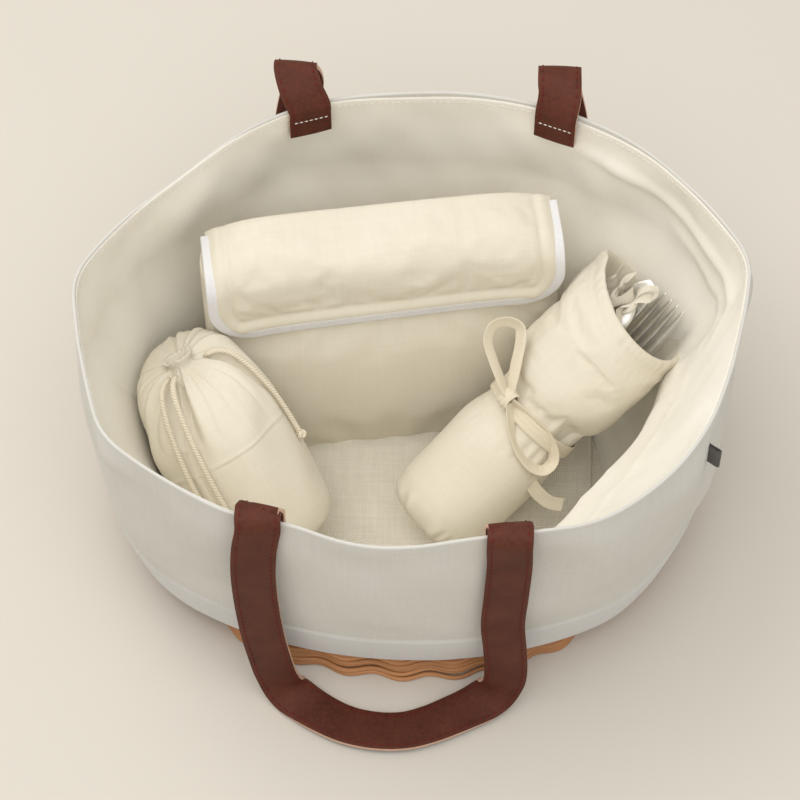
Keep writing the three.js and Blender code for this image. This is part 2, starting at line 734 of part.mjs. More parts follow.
function buildBag() {
  const group = new THREE.Group();
  const steps = 2 * BAG_PLEATS;
  const rings = BAG_OUTLINE.map(([h, r, pleat]) =>
    Array.from({ length: steps }, (_, i) => {
      const a = (i / steps) * 2 * Math.PI;
      const pulled = r * (1 + (i % 2 ? -pleat : pleat));
      return vec(pulled * Math.cos(a), pulled * Math.sin(a), h);
    }),
  );
  const pole = (h) => [vec(0, 0, h)];
  add(group, "drawstring_bag", skin([pole(0), ...rings, pole(BAG_LENGTH + 4)]), COTTON);

  // Each cord leaves the neck, bows out and hangs down the bag's side at one angle round it.
  const away = CORD_DIAMETER / 2 + GAP + 0.4;
  const hang = (degrees, length) => {
    const a = THREE.MathUtils.degToRad(degrees);
    const place = (h, extra) => {
      const r = bagRadius(h) + away + extra;
      return vec(r * Math.cos(a), r * Math.sin(a), h);
    };
    return [
      place(BAG_LENGTH, 0),
      place(BAG_LENGTH - 1, 8),
      place(BAG_LENGTH - 6, 9),
      place(BAG_LENGTH - 20, 5),
      place(BAG_LENGTH - 44, 1.5),
      place(BAG_LENGTH - length * 0.7, 0.8),
      place(BAG_LENGTH - length, 0.5),
    ];
  };
  const cords = { left_1: hang(48, 112), left_2: hang(31, 100), right: hang(150, 84) };
  for (const [name, route] of Object.entries(cords)) {
    add(group, `drawstring_${name}`, tube(route, CORD_DIAMETER, 8, 16), CORD);
  }
  group.position.set(...BAG_FOOT, 0);
  turnTo(group, BAG_AXIS);
  seatOn(group, PAD_TOP + GAP);
  part.add(group);
}

// Cutlery roll

// Outer radius of the roll at a place along it, drawn in by the tie
function rollRadius(s) {
  const open = ROLL_FOOT_RADIUS + 3 + (ROLL_MOUTH_RADIUS - ROLL_FOOT_RADIUS - 3) * (s / ROLL_LENGTH);
  const clear = Math.max(0, Math.abs(s - ROLL_TIE_AT) - TAPE_WIDTH / 2 - 1);
  const pull = Math.exp(-((clear / 18) ** 2));
  return open + (ROLL_TIE_RADIUS - open) * pull;
}

// The roll's padded wall along the given places: up its outside and back down its bore
function rollWall(places) {
  const ring = (s, inset) => [rollRadius(s) - inset, rollRadius(s) - inset, s];
  const bore = [...places].reverse();
  return [...places.map((s) => ring(s, 0)), ...bore.map((s) => ring(s, ROLL_WALL))];
}

// The roll in two lengths that meet under its tie: the closed foot and the open mouth
function buildRollBody(group) {
  const steps = 28;
  const flat = TAPE_WIDTH / 2 + 1;
  const slope = flat + 8;
  const rest = ROLL_LENGTH - ROLL_TIE_AT;
  const lower = [0.13, 0.57, 0.77].map((share) => share * ROLL_TIE_AT);
  lower.push(...[slope, flat, GAP / 2].map((below) => ROLL_TIE_AT - below));
  const upper = [GAP / 2, flat, slope].map((above) => ROLL_TIE_AT + above);
  upper.push(...[0.22, 0.41, 0.77, 1].map((share) => ROLL_TIE_AT + share * rest));
  const [flatEnd, roundEnd] = [0.6 * ROLL_FOOT_RADIUS, 0.9 * ROLL_FOOT_RADIUS];
  const foot = [
    [0, 0, 0],
    [flatEnd, flatEnd, 0],
    [roundEnd, roundEnd, 4],
    ...rollWall(lower),
    [0, 0, 12],
  ];
  add(group, "cutlery_roll_foot", ovalLathe(foot, steps), COTTON);
  add(group, "cutlery_roll_mouth", ovalLathe(rollWall(upper), steps, true), COTTON);
}

// Tape tied round the waist of the roll, with a knot, two loops and two tails on top
function buildTie(group) {
  const waist = ROLL_TIE_RADIUS + GAP + TAPE_THICKNESS / 2 + 0.3;
  const half = TAPE_WIDTH / 2;
  const thick = TAPE_THICKNESS / 2;
  const band = [
    [waist + thick, waist + thick, ROLL_TIE_AT - half],
    [waist + thick, waist + thick, ROLL_TIE_AT + half],
    [waist - thick, waist - thick, ROLL_TIE_AT + half],
    [waist - thick, waist - thick, ROLL_TIE_AT - half],
  ];
  add(group, "roll_tie_band", ovalLathe(band, 28, true), CORD);

  const top = waist + thick + GAP;
  const knot = new THREE.SphereGeometry(1, 8, 6);
  knot.scale(KNOT_HALF, KNOT_HALF / 2, 0.78 * KNOT_HALF);
  knot.translate(0, top + 4.8, ROLL_TIE_AT);
  add(group, "roll_tie_knot", knot, CORD);

  const y = top + 4.8;
  const loop = (side) => {
    const route = [
      vec(side * (KNOT_HALF + 0.6), y + 1.5, ROLL_TIE_AT),
      vec(side * 0.42 * BOW_LOOP, y + 8, ROLL_TIE_AT + 2),
      vec(side * 0.78 * BOW_LOOP, y + 9, ROLL_TIE_AT + 4),
      vec(side * BOW_LOOP, y + 4, ROLL_TIE_AT + 3),
      vec(side * 0.8 * BOW_LOOP, y - 0.5, ROLL_TIE_AT),
      vec(side * 0.42 * BOW_LOOP, y + 1.5, ROLL_TIE_AT - 2),
      vec(side * (KNOT_HALF + 0.8), y - 0.8, ROLL_TIE_AT - 1),
    ];
    return tapeAlong(route, vec(0, 0, 1));
  };
  add(group, "roll_tie_loop_rear", loop(1), CORD);
  add(group, "roll_tie_loop_front", loop(-1), CORD);
  const tail = [
    vec(2 - KNOT_HALF, y - 1, ROLL_TIE_AT - 10),
    vec(-0.44 * BOW_TAIL, y + 0.5, ROLL_TIE_AT - 17),
    vec(-0.72 * BOW_TAIL, y - 6, ROLL_TIE_AT - 23),
    vec(-BOW_TAIL, y - 20, ROLL_TIE_AT - 26),
  ];
  add(group, "roll_tie_tail", tapeAlong(tail, vec(0, 0, 1)), CORD);
}

// Flat tape along a route, with its width along the given edge direction
function tapeAlong(route, edge) {
  const curve = new THREE.CatmullRomCurve3(route, false, "centripetal");
  const steps = 2 * route.length;
  const stations = Array.from({ length: steps + 1 }, (_, i) => {
    const along = curve.getTangent(i / steps).projectOnPlane(edge).normalize();
    const out = along.clone().cross(edge);
    return { at: curve.getPoint(i / steps), out, along, half: TAPE_WIDTH * 0.38 };
  });
  return ribbon(stations, TAPE_THICKNESS);
}

// A cutlery handle as ribbon stations: a rounded end, a slim neck, then what follows
function cutleryHandle(length, endHalf, neckHalf) {
  return [
    [0, endHalf * 0.6],
    [6, endHalf],
    [length * 0.35, endHalf * 0.85],
    [length * 0.72, neckHalf],
    [length, neckHalf],
  ].map(([s, half]) => ({ at: vec(0, 0, s), out: vec(0, 1, 0), half }));
}

function forkShape() {
  const neck = FORK_LENGTH - 70;
  const body = [
    ...cutleryHandle(neck, 8, 3.2),
    { at: vec(0, -2.5, neck + 10), out: vec(0, 1, 0), half: 8 },
    { at: vec(0, -3.5, neck + 18), out: vec(0, 1, 0), half: 11.5, cup: 1 },
    { at: vec(0, -3, neck + 28), out: vec(0, 1, 0), half: 12, cup: 1 },
  ];
  const solids = [ribbon(body, CUTLERY_THICKNESS, 2)];
  for (let i = 0; i < 4; i++) {
    const x = (i - 1.5) * 6.6;
    const sink = 1 - Math.abs(x) / 14;
    const tine = [
      { at: vec(x, -3 - sink * 0.6, neck + 25), out: vec(0, 1, 0), half: 2 },
      { at: vec(x, -1.6, neck + 50), out: vec(0, 1, 0), half: 1.6 },
      { at: vec(x, 1.4, neck + 70), out: vec(0, 1, 0), half: 0.7 },
    ];
    solids.push(ribbon(tine, CUTLERY_THICKNESS));
  }
  return joined(solids);
}

function spoonShape() {
  const neck = SPOON_LENGTH - 50;
  const bowl = [
    { at: vec(0, -1, neck + 7), half: 7, cup: 1 },
    { at: vec(0, -2, neck + 18), half: 12.5, cup: 3.5 },
    { at: vec(0, -2, neck + 32), half: 13.5, cup: 5 },
    { at: vec(0, -1, neck + 43), half: 10, cup: 3.5 },
    { at: vec(0, 0.5, neck + 50), half: 4, cup: 1 },
  ].map((station) => ({ out: vec(0, 1, 0), ...station }));
  return ribbon([...cutleryHandle(neck, 8, 3.2), ...bowl], CUTLERY_THICKNESS, 4);
}

function knifeShape() {
  const neck = KNIFE_LENGTH - 106;
  const blade = [
    { at: vec(0, 0, neck + 10), half: 8.5 },
    { at: vec(0, 0, neck + 60), half: 10 },
    { at: vec(0, 0, neck + 95), half: 9 },
    { at: vec(0, 0, neck + 106), half: 3 },
  ].map((station) => ({ out: vec(0, 1, 0), ...station }));
  return ribbon([...cutleryHandle(neck, 7.5, 6), ...blade], CUTLERY_THICKNESS);
}

// The cutlery lies in the lower half of the bore, the forks nested on one side and the
// spoon turned over on the knife on the other.
function buildCutlery(group) {
  const bore = ROLL_TIE_RADIUS - ROLL_WALL;
  const floor = -bore * 0.685;
  const nest = CUTLERY_THICKNESS + 1.2;
  const place = (name, geometry, x, y, depth, turn = 0) => {
    const mesh = add(group, name, geometry, STEEL);
    mesh.position.set(x, y, depth);
    mesh.rotation.z = turn;
  };
  for (let i = 0; i < 3; i++) {
    place(`dinner_fork_${i + 1}`, forkShape(), -0.485 * bore, floor + i * nest, 24 + 4 * i);
  }
  const knifeY = -bore * 0.6;
  place("table_knife", knifeShape(), 0.52 * bore, knifeY, 26);
  const spoonY = knifeY + CUTLERY_THICKNESS + 0.5;
  place("dessert_spoon", spoonShape(), 0.554 * bore, spoonY, 30, Math.PI);

  // Crumpled napkin pushed in over the cutlery
  const napkin = new THREE.SphereGeometry(1, 12, 8);
  const places = napkin.getAttribute("position");
  for (let i = 0; i < places.count; i++) {
    const p = new THREE.Vector3().fromBufferAttribute(places, i);
    const crease = 1 - 0.1 * Math.abs(Math.sin(7 * p.x + 4 * p.z)) * (1 - p.y * p.y);
    places.setXYZ(i, p.x * 0.625 * crease, p.y * 0.53, p.z * crease);
  }
  napkin.scale(NAPKIN_HALF, NAPKIN_HALF, NAPKIN_HALF);
  napkin.translate(1, bore - 8.5, ROLL_LENGTH - NAPKIN_HALF - 10);
  add(group, "napkin", napkin, COTTON);
}

function buildRoll() {
  const group = new THREE.Group();
  buildRollBody(group);
  buildTie(group);
  buildCutlery(group);
  group.position.set(...ROLL_FOOT, 0);
  turnTo(group, ROLL_AXIS);
  seatOn(group, PAD_TOP + GAP);
  part.add(group);
}

buildTray();
buildUpper();
buildSideTag();
buildHandle("front", FRONT_ARCH);
buildHandle("rear", REAR_ARCH);
buildPouch();
buildBag();
buildRoll();

export default part;
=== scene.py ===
# %% [markdown]
# # A packed picnic basket
# A willow tray carries a canvas upper with a cloth lining and two leather straps. In it lie
# a padded plate pouch, a drawstring bag and a tied cutlery roll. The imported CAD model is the
# frame: it says where every piece is and what moves. Here each piece gets the shape and the
# finish that the eye expects of cloth, leather, willow and steel.

# %% Load the frame
import math

import bpy
import numpy as np
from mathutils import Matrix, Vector


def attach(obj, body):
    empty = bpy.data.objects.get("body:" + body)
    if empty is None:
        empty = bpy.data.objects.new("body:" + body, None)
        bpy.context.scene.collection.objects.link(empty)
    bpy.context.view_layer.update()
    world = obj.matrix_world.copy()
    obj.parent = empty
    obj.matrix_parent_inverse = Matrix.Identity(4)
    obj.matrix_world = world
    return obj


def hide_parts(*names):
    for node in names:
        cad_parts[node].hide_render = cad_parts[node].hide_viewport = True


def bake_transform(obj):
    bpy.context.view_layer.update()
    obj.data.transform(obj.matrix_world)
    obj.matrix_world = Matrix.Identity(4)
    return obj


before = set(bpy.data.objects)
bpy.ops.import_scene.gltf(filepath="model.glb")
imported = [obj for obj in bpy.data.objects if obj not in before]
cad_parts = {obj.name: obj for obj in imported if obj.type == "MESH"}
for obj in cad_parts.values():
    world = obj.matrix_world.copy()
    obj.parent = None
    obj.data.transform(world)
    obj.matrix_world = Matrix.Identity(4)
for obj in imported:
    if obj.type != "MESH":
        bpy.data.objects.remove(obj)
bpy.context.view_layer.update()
scene = bpy.context.scene
scene.view_settings.view_transform = "Standard"
MM = 0.001
print("nodes in the frame:", len(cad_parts))

# %% [markdown]
# ## Camera
# The basket is seen from high in front. A long lens from 2.3 m keeps the rim's oval calm, as
# a product photographer would.

# %% Camera
LOOK_AT = Vector((-0.007, -0.007, 0.130))
ELEVATION = math.radians(60)
SWING = 0.035
DISTANCE = 2.3
level = math.cos(ELEVATION)
looking = Vector((-math.sin(SWING) * level, math.cos(SWING) * level, -math.sin(ELEVATION)))
bpy.ops.object.camera_add(location=LOOK_AT - DISTANCE * looking)
camera = bpy.context.object
camera.rotation_euler = looking.to_track_quat("-Z", "Y").to_euler()
camera.data.sensor_fit = "HORIZONTAL"
camera.data.lens = 146.8
camera.data.clip_end = 30
scene.camera = camera
print("camera at", [round(x, 3) for x in camera.location])

# %% [markdown]
# ## Ways of working
# Cloth starts flat. So most pieces start as a flat grid, cut to size, and every point of the
# grid is then laid onto the form, with its thread directions kept in the UV map in metres. The
# helpers here do that, close seams, apply modifiers and hand a finished piece to the frame.


# %% Helpers for laying, welding and finishing
def pick(piece):
    bpy.ops.object.select_all(action="DESELECT")
    piece.select_set(True)
    bpy.context.view_layer.objects.active = piece


def points_of(piece):
    flat = np.empty(len(piece.data.vertices) * 3)
    piece.data.vertices.foreach_get("co", flat)
    return flat.reshape(-1, 3)


def put(piece, points):
    piece.data.vertices.foreach_set("co", np.asarray(points, float).ravel())
    piece.data.update()


def xyz(x, y, z):
    return np.stack(np.broadcast_arrays(x, y, z), axis=1).astype(float)


def unit(vectors):
    return vectors / np.maximum(np.linalg.norm(vectors, axis=-1, keepdims=True), 1e-9)


def change_uv(piece, change):
    corners = piece.data.uv_layers.active.data
    uv = np.empty(len(corners) * 2)
    corners.foreach_get("uv", uv)
    corners.foreach_set("uv", change(uv.reshape(-1, 2)).ravel())


def lay(name, columns, rows, place, size, sewn=None):
    """A flat grid laid onto a form. place takes arrays from 0 to 1 and gives millimetres."""
    bpy.ops.object.select_all(action="DESELECT")
    bpy.ops.mesh.primitive_grid_add(x_subdivisions=columns, y_subdivisions=rows, size=1)
    piece = bpy.context.object
    piece.name = piece.data.name = name
    u, v, _ = points_of(piece).T + 0.5
    put(piece, place(u, v) * MM)
    if sewn:
        marks = piece.data.attributes.new("sewn", "FLOAT", "POINT").data
        marks.foreach_set("value", sewn(u, v).astype(float))
    change_uv(piece, lambda uv: (size(*uv.T) if callable(size) else uv * np.array(size)) * MM)
    return piece


def weld(piece, gap=0.00004):
    pick(piece)
    bpy.ops.object.mode_set(mode="EDIT")
    bpy.ops.mesh.select_all(action="SELECT")
    bpy.ops.mesh.remove_doubles(threshold=gap)
    bpy.ops.mesh.normals_make_consistent(inside=False)
    bpy.ops.object.mode_set(mode="OBJECT")


def apply(piece, kind, **settings):
    pick(piece)
    modifier = piece.modifiers.new(kind, kind)
    for key, value in settings.items():
        setattr(modifier, key, value)
    bpy.ops.object.modifier_apply(modifier=modifier.name)


def subdivide(piece, levels=1):
    apply(piece, "SUBSURF", levels=levels, render_levels=levels)


def finish_piece(piece, slot, *materials, body=None, stands_for=()):
    pick(piece)
    bpy.ops.object.shade_smooth()
    for material in materials:
        piece.data.materials.append(material)
    if body:
        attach(piece, body)
    if stands_for:
        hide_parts(*stands_for)
    print(f"{piece.name}: {len(piece.data.polygons)} faces")
    return piece


# %% [markdown]
# Straps, tapes, cords and rods follow lines. One helper draws a smooth line through a few
# points, and two more lay a flat band or a round tube along it.


# %% Helpers for lines, bands and tubes
def through(points, count):
    """Evenly spaced places on a smooth line through the points; extra columns come along."""
    p = np.array(points, float)
    p = np.vstack([2 * p[0] - p[1], p, 2 * p[-1] - p[-2]])
    gaps = np.linalg.norm(np.diff(p[:, :3], axis=0), axis=1) ** 0.5
    t = np.concatenate([[0], np.cumsum(np.maximum(gaps, 1e-6))])
    line = []
    for i in range(1, len(p) - 2):
        for s in np.linspace(t[i], t[i + 1], 24, endpoint=False):
            def mix(a, b, ta, tb):
                return ((tb - s) * a + (s - ta) * b) / (tb - ta)
            a1 = mix(p[i - 1], p[i], t[i - 1], t[i])
            a2 = mix(p[i], p[i + 1], t[i], t[i + 1])
            a3 = mix(p[i + 1], p[i + 2], t[i + 1], t[i + 2])
            b1 = mix(a1, a2, t[i - 1], t[i + 1])
            b2 = mix(a2, a3, t[i], t[i + 2])
            line.append(mix(b1, b2, t[i], t[i + 1]))
    line.append(p[-2])
    line = np.array(line)
    run = run_along(line)
    even = np.linspace(0, run[-1], count)
    return np.stack([np.interp(even, run, column) for column in line.T], axis=1)


def run_along(line):
    return np.concatenate([[0], np.cumsum(np.linalg.norm(np.diff(line[:, :3], axis=0), axis=1))])


def along_rows(values, v):
    return np.interp(v, np.linspace(0, 1, len(values)), values)


def pick_rows(line, v):
    return np.stack([along_rows(column, v) for column in line.T], axis=1)


def directions(line):
    return unit(np.gradient(line[:, :3], axis=0))


def band(name, line, outs, width, columns, shape=None):
    """A flat band along a line. shape moves a place by its share across and along."""
    along = directions(line)
    across = unit(np.cross(along, outs))
    facing = unit(np.cross(across, along))

    def place(u, v):
        side = (u - 0.5) * width
        lift = shape(u, v) if shape else 0 * u
        at = pick_rows(line[:, :3], v)
        return at + pick_rows(across, v) * side[:, None] + pick_rows(facing, v) * lift[:, None]

    return lay(name, columns, len(line) - 1, place, (width, run_along(line)[-1]))


def tube(name, line, radius, sides, ring=False, ends=True):
    """A round tube along a line. radius is a number or an array along the line."""
    radius = np.broadcast_to(radius, len(line)).astype(float).copy()
    along = directions(line)
    if ring:
        along[0] = along[-1] = unit(line[1] - line[-2])
    elif ends:
        line = np.vstack([line[:1], line, line[-1:]])
        along = np.vstack([along[:1], along, along[-1:]])
        radius = np.concatenate([[0.001], radius, [0.001]])
    start = np.cross(along[0], (0.31, 0.17, 0.93))
    firsts = [unit(start)]
    for direction in along[1:]:
        carried = firsts[-1] - direction * np.dot(firsts[-1], direction)
        firsts.append(unit(carried))
    firsts = np.array(firsts)
    seconds = np.cross(along, firsts)

    def place(u, v):
        angle = u * 2 * math.pi
        at, r = pick_rows(line, v), pick_rows(radius[:, None], v)
        way = pick_rows(firsts, v) * np.cos(angle)[:, None] + pick_rows(seconds, v) * np.sin(angle)[:, None]
        return at + way * r

    length = run_along(line)[-1]
    piece = lay(name, sides, len(line) - 1, place, (2 * math.pi * radius.max(), length))
    weld(piece)
    return piece


def join(name, pieces):
    bpy.ops.object.select_all(action="DESELECT")
    for piece in pieces:
        piece.select_set(True)
    bpy.context.view_layer.objects.active = pieces[0]
    if len(pieces) > 1:
        bpy.ops.object.join()
    pieces[0].name = pieces[0].data.name = name
    return pieces[0]


# %% [markdown]
# Sewing shows as small beads of thread. One stitch is modelled as a stretched sphere, and its
# points are copied along a seam line, so a whole row is one light mesh.


# %% Helper for rows of stitches
def sew(name, runs, pitch, stitch, thick):
    bpy.ops.object.select_all(action="DESELECT")
    bpy.ops.mesh.primitive_uv_sphere_add(segments=6, ring_count=4, radius=0.5)
    piece = bpy.context.object
    bead = points_of(piece)
    faces = [list(face.vertices) for face in piece.data.polygons]
    verts, polygons = [], []
    for line, outs in runs:
        run = run_along(line)
        along = directions(line)
        for i in range(int(run[-1] / pitch)):
            s = (i + 0.5) * pitch / run[-1]
            at, way, out = (pick_rows(part, np.array([s]))[0] for part in (line, along, outs))
            across = unit(np.cross(way, out))
            axes = np.array([way * stitch, across * thick, unit(np.cross(across, way)) * thick])
            first = len(verts) * len(bead)
            polygons += [[first + k for k in face] for face in faces]
            verts.append(at + bead @ axes)
    mesh = bpy.data.meshes.new(name)
    mesh.from_pydata(np.concatenate(verts) * MM, [], polygons)
    mesh.update()
    piece.data = mesh
    piece.name = name
    return piece


# %% [markdown]
# Padding swells between its seams. Blender's cloth does this well: the seam points are held,
# a little pressure fills the rest, and no point may move further than a cap.


# %% Helper for filling padded cloth
def fill(piece, pressure, cap, slack=0.03):
    marks = piece.data.attributes["sewn"]
    sewn = np.empty(len(piece.data.vertices))
    marks.data.foreach_get("value", sewn)
    piece.data.attributes.remove(marks)
    before = points_of(piece)
    pick(piece)
    group = piece.vertex_groups.new(name="sewn")
    group.add([int(i) for i in np.flatnonzero(sewn > 0.5)], 1.0, "REPLACE")
    cloth = piece.modifiers.new("Cloth", "CLOTH")
    cloth.settings.vertex_group_mass = "sewn"
    cloth.settings.quality = 6
    cloth.settings.mass = 0.3
    cloth.settings.tension_stiffness = 12
    cloth.settings.compression_stiffness = 12
    cloth.settings.bending_stiffness = 0.4
    cloth.settings.shrink_min = -slack
    cloth.settings.use_pressure = True
    cloth.settings.uniform_pressure_force = pressure
    cloth.settings.effector_weights.gravity = 0
    for step in range(1, 21):
        scene.frame_set(step)
    bpy.ops.object.modifier_apply(modifier="Cloth")
    scene.frame_set(1)
    move = points_of(piece) - before
    far = np.linalg.norm(move, axis=1, keepdims=True)
    put(piece, before + move * np.minimum(1, cap * MM / np.maximum(far, 1e-9)))
    piece.vertex_groups.clear()
    print(f"{piece.name} filled, furthest point {far.max() * 1000:.1f} mm")


# %% [markdown]
# ## Finishes
# Woven cloth is threads over and under each other. One node group draws that from the UV map,
# with its thread count as an input, and gives a height for bump and a tone for uneven yarn.
# Canvas, lining, linen, cotton and tape all use it with their own counts and colours.


# %% Node helpers
def number(tree, operation, a, b=None, c=None):
    node = tree.nodes.new("ShaderNodeMath")
    node.operation = operation
    for socket, value in zip(node.inputs, (a, b, c)):
        if value is None:
            continue
        if isinstance(value, (int, float)):
            socket.default_value = value
        else:
            tree.links.new(value, socket)
    return node.outputs[0]


def add_node(tree, kind, links=(), **settings):
    node = tree.nodes.new(kind)
    for key, value in settings.items():
        setattr(node, key, value)
    for socket, value in dict(links).items():
        if isinstance(value, bpy.types.NodeSocket):
            tree.links.new(value, node.inputs[socket])
        else:
            node.inputs[socket].default_value = value
    return node


def new_group(name, inputs, outputs):
    group = bpy.data.node_groups.new(name, "ShaderNodeTree")
    for label, (kind, value) in inputs.items():
        socket = group.interface.new_socket(label, in_out="INPUT", socket_type=kind)
        if value is not None:
            socket.default_value = value
    for label in outputs:
        group.interface.new_socket(label, in_out="OUTPUT", socket_type="NodeSocketFloat")
    return group, group.nodes.new("NodeGroupInput").outputs, group.nodes.new("NodeGroupOutput").inputs


def stretched_noise(tree, vector, stretch, scale, detail=3.0):
    mapped = add_node(tree, "ShaderNodeMapping", {"Vector": vector, "Scale": stretch}).outputs[0]
    links = {"Vector": mapped, "Scale": scale, "Detail": detail}
    return add_node(tree, "ShaderNodeTexNoise", links).outputs["Fac"]


# %% Node group for woven cloth
woven, given, out = new_group(
    "woven_cloth",
    {
        "Vector": ("NodeSocketVector", None),
        "Threads": ("NodeSocketFloat", 1200.0),
        "Slub": ("NodeSocketFloat", 0.5),
    },
    ["Height", "Tone"],
)
uneven = add_node(woven, "ShaderNodeTexNoise", {"Vector": given["Vector"], "Scale": 90.0, "Detail": 2.0})
sway = number(woven, "MULTIPLY", number(woven, "SUBTRACT", uneven.outputs["Fac"], 0.5), given["Slub"])
split = add_node(woven, "ShaderNodeSeparateXYZ", {"Vector": given["Vector"]}).outputs
warp = number(woven, "ADD", number(woven, "MULTIPLY", split[0], given["Threads"]), sway)
weft = number(woven, "ADD", number(woven, "MULTIPLY", split[1], given["Threads"]), sway)


def thread(across, along, shift):
    round_top = number(woven, "ABSOLUTE", number(woven, "SINE", number(woven, "MULTIPLY", across, math.pi)))
    turn = number(woven, "ADD", along, number(woven, "ADD", number(woven, "FLOOR", across), shift))
    rise = number(woven, "COSINE", number(woven, "MULTIPLY", turn, math.pi))
    return number(woven, "MULTIPLY", round_top, number(woven, "MULTIPLY_ADD", rise, 0.5, 0.5))


crossing = number(woven, "MAXIMUM", thread(warp, weft, 0.5), thread(weft, warp, 1.5))
woven.links.new(crossing, out["Height"])
streaks = number(
    woven,
    "ADD",
    stretched_noise(woven, given["Vector"], (1.0, 0.05, 1.0), 420.0),
    stretched_noise(woven, given["Vector"], (0.05, 1.0, 1.0), 420.0),
)
woven.links.new(number(woven, "MULTIPLY", streaks, 0.5), out["Tone"])
print("woven_cloth nodes:", len(woven.nodes))

# %% [markdown]
# Handling leaves cloth and leather slightly uneven in colour over a few centimetres. A second
# group gives that soft mottling from Object coordinates, so it runs on from piece to piece.

# %% Node group for soft mottling
mottled, given, out = new_group("soft_mottling", {"Scale": ("NodeSocketFloat", 14.0)}, ["Mottle"])
place = add_node(mottled, "ShaderNodeTexCoord").outputs["Object"]
cloudy = add_node(mottled, "ShaderNodeTexNoise", {"Vector": place, "Scale": given["Scale"], "Detail": 4.0})
mottled.links.new(cloudy.outputs["Fac"], out["Mottle"])


# %% Cloth materials
def new_material(name, roughness, sheen=0.0, metallic=0.0):
    material = bpy.data.materials.new(name)
    material.use_nodes = True
    tree = material.node_tree
    shader = tree.nodes["Principled BSDF"]
    shader.inputs["Roughness"].default_value = roughness
    shader.inputs["Sheen Weight"].default_value = sheen
    shader.inputs["Sheen Roughness"].default_value = 0.5
    shader.inputs["Metallic"].default_value = metallic
    shader.inputs["Specular IOR Level"].default_value = 0.2
    return material, tree, shader


def paint(tree, shader, fac, dark, light):
    """Colours the surface between two tones, by a value that changes over it."""
    ramp = tree.nodes.new("ShaderNodeMix")
    ramp.data_type = "RGBA"
    tree.links.new(fac, ramp.inputs["Factor"])
    ramp.inputs["A"].default_value = (*dark, 1)
    ramp.inputs["B"].default_value = (*light, 1)
    tree.links.new(ramp.outputs["Result"], shader.inputs["Base Color"])


def bump(tree, shader, height, strength, distance):
    links = {"Height": height, "Strength": strength, "Distance": distance}
    node = add_node(tree, "ShaderNodeBump", links)
    tree.links.new(node.outputs["Normal"], shader.inputs["Normal"])


def cloth_material(name, dark, light, threads, slub=0.5, relief=0.5, depth=0.00025, sheen=0.1):
    material, tree, shader = new_material(name, 0.92, sheen)
    uv = add_node(tree, "ShaderNodeTexCoord").outputs["UV"]
    weave = add_node(tree, "ShaderNodeGroup", node_tree=woven)
    tree.links.new(uv, weave.inputs["Vector"])
    weave.inputs["Threads"].default_value = threads
    weave.inputs["Slub"].default_value = slub
    mottle = add_node(tree, "ShaderNodeGroup", node_tree=mottled)
    mixed = number(tree, "ADD", weave.outputs["Tone"], mottle.outputs["Mottle"])
    # The weave's height also lightens the colour, so the gaps between threads get painted shade.
    thread_gap_shade = number(tree, "MULTIPLY", weave.outputs["Height"], 0.5)
    fac = number(tree, "ADD", number(tree, "SUBTRACT", mixed, 0.75), thread_gap_shade)
    paint(tree, shader, fac, dark, light)
    bump(tree, shader, weave.outputs["Height"], relief, depth)
    return material


canvas_cloth = cloth_material("canvas_cloth", (0.59, 0.57, 0.52), (0.685, 0.665, 0.615), 1100)
# The hem is a double layer of canvas; its lighter, cooler tone also paints the light thrown up from the floor
# onto the lower band.
hem_cloth_with_painted_light = cloth_material("hem_cloth_with_painted_light", (0.605, 0.595, 0.57), (0.70, 0.69, 0.67), 1100)
lining_cloth = cloth_material("lining_cloth", (0.88, 0.835, 0.725), (0.945, 0.91, 0.82), 1500)
# Coarse linen for the floor pad, also laid on the lining's floor round the pad, where its darker tone is
# painted shade.
linen_and_painted_floor_shade = cloth_material(
    "linen_and_painted_floor_shade", (0.70, 0.64, 0.52), (0.92, 0.88, 0.77), 620, slub=1.4, relief=0.9, depth=0.0005
)
cotton_cloth = cloth_material("cotton_cloth", (0.70, 0.64, 0.515), (0.79, 0.74, 0.625), 1300, slub=0.8)
white_tape = cloth_material("white_tape", (0.72, 0.71, 0.71), (0.82, 0.81, 0.82), 800, relief=0.8)
tie_tape = cloth_material("tie_tape", (0.68, 0.60, 0.45), (0.76, 0.69, 0.55), 1000, relief=0.7)
dark_tape = cloth_material("dark_tape", (0.045, 0.042, 0.038), (0.17, 0.16, 0.145), 900, relief=0.8)

# %% [markdown]
# Leather has a pebbled grain with fine creases and a soft gloss. Its cut edges are paler and
# fibrous. Thread is fibrous too, and the cotton cords show the twist of their plies.


# %% Leather, thread and cord materials
def leather_material():
    material, tree, shader = new_material("brown_leather", 0.5)
    at = add_node(tree, "ShaderNodeTexCoord").outputs["Object"]
    cells = add_node(tree, "ShaderNodeTexVoronoi", {"Vector": at, "Scale": 900.0}).outputs["Distance"]
    fine = add_node(tree, "ShaderNodeTexNoise", {"Vector": at, "Scale": 380.0, "Detail": 5.0}).outputs["Fac"]
    mottle = add_node(tree, "ShaderNodeGroup", node_tree=mottled)
    mottle.inputs["Scale"].default_value = 45.0
    fac = number(tree, "ADD", mottle.outputs["Mottle"], number(tree, "SUBTRACT", fine, 0.5))
    paint(tree, shader, fac, (0.055, 0.0135, 0.007), (0.135, 0.038, 0.021))
    tree.links.new(number(tree, "MULTIPLY_ADD", fine, 0.3, 0.5), shader.inputs["Roughness"])
    grain = number(tree, "ADD", cells, number(tree, "MULTIPLY", fine, 0.6))
    bump(tree, shader, grain, 0.35, 0.0004)
    return material


def fibre_material(name, dark, light, scale, roughness=0.9):
    material, tree, shader = new_material(name, roughness)
    at = add_node(tree, "ShaderNodeTexCoord").outputs["Object"]
    noise = add_node(tree, "ShaderNodeTexNoise", {"Vector": at, "Scale": scale, "Detail": 4.0})
    fibres = noise.outputs["Fac"]
    paint(tree, shader, fibres, dark, light)
    bump(tree, shader, fibres, 0.5, 0.0003)
    return material


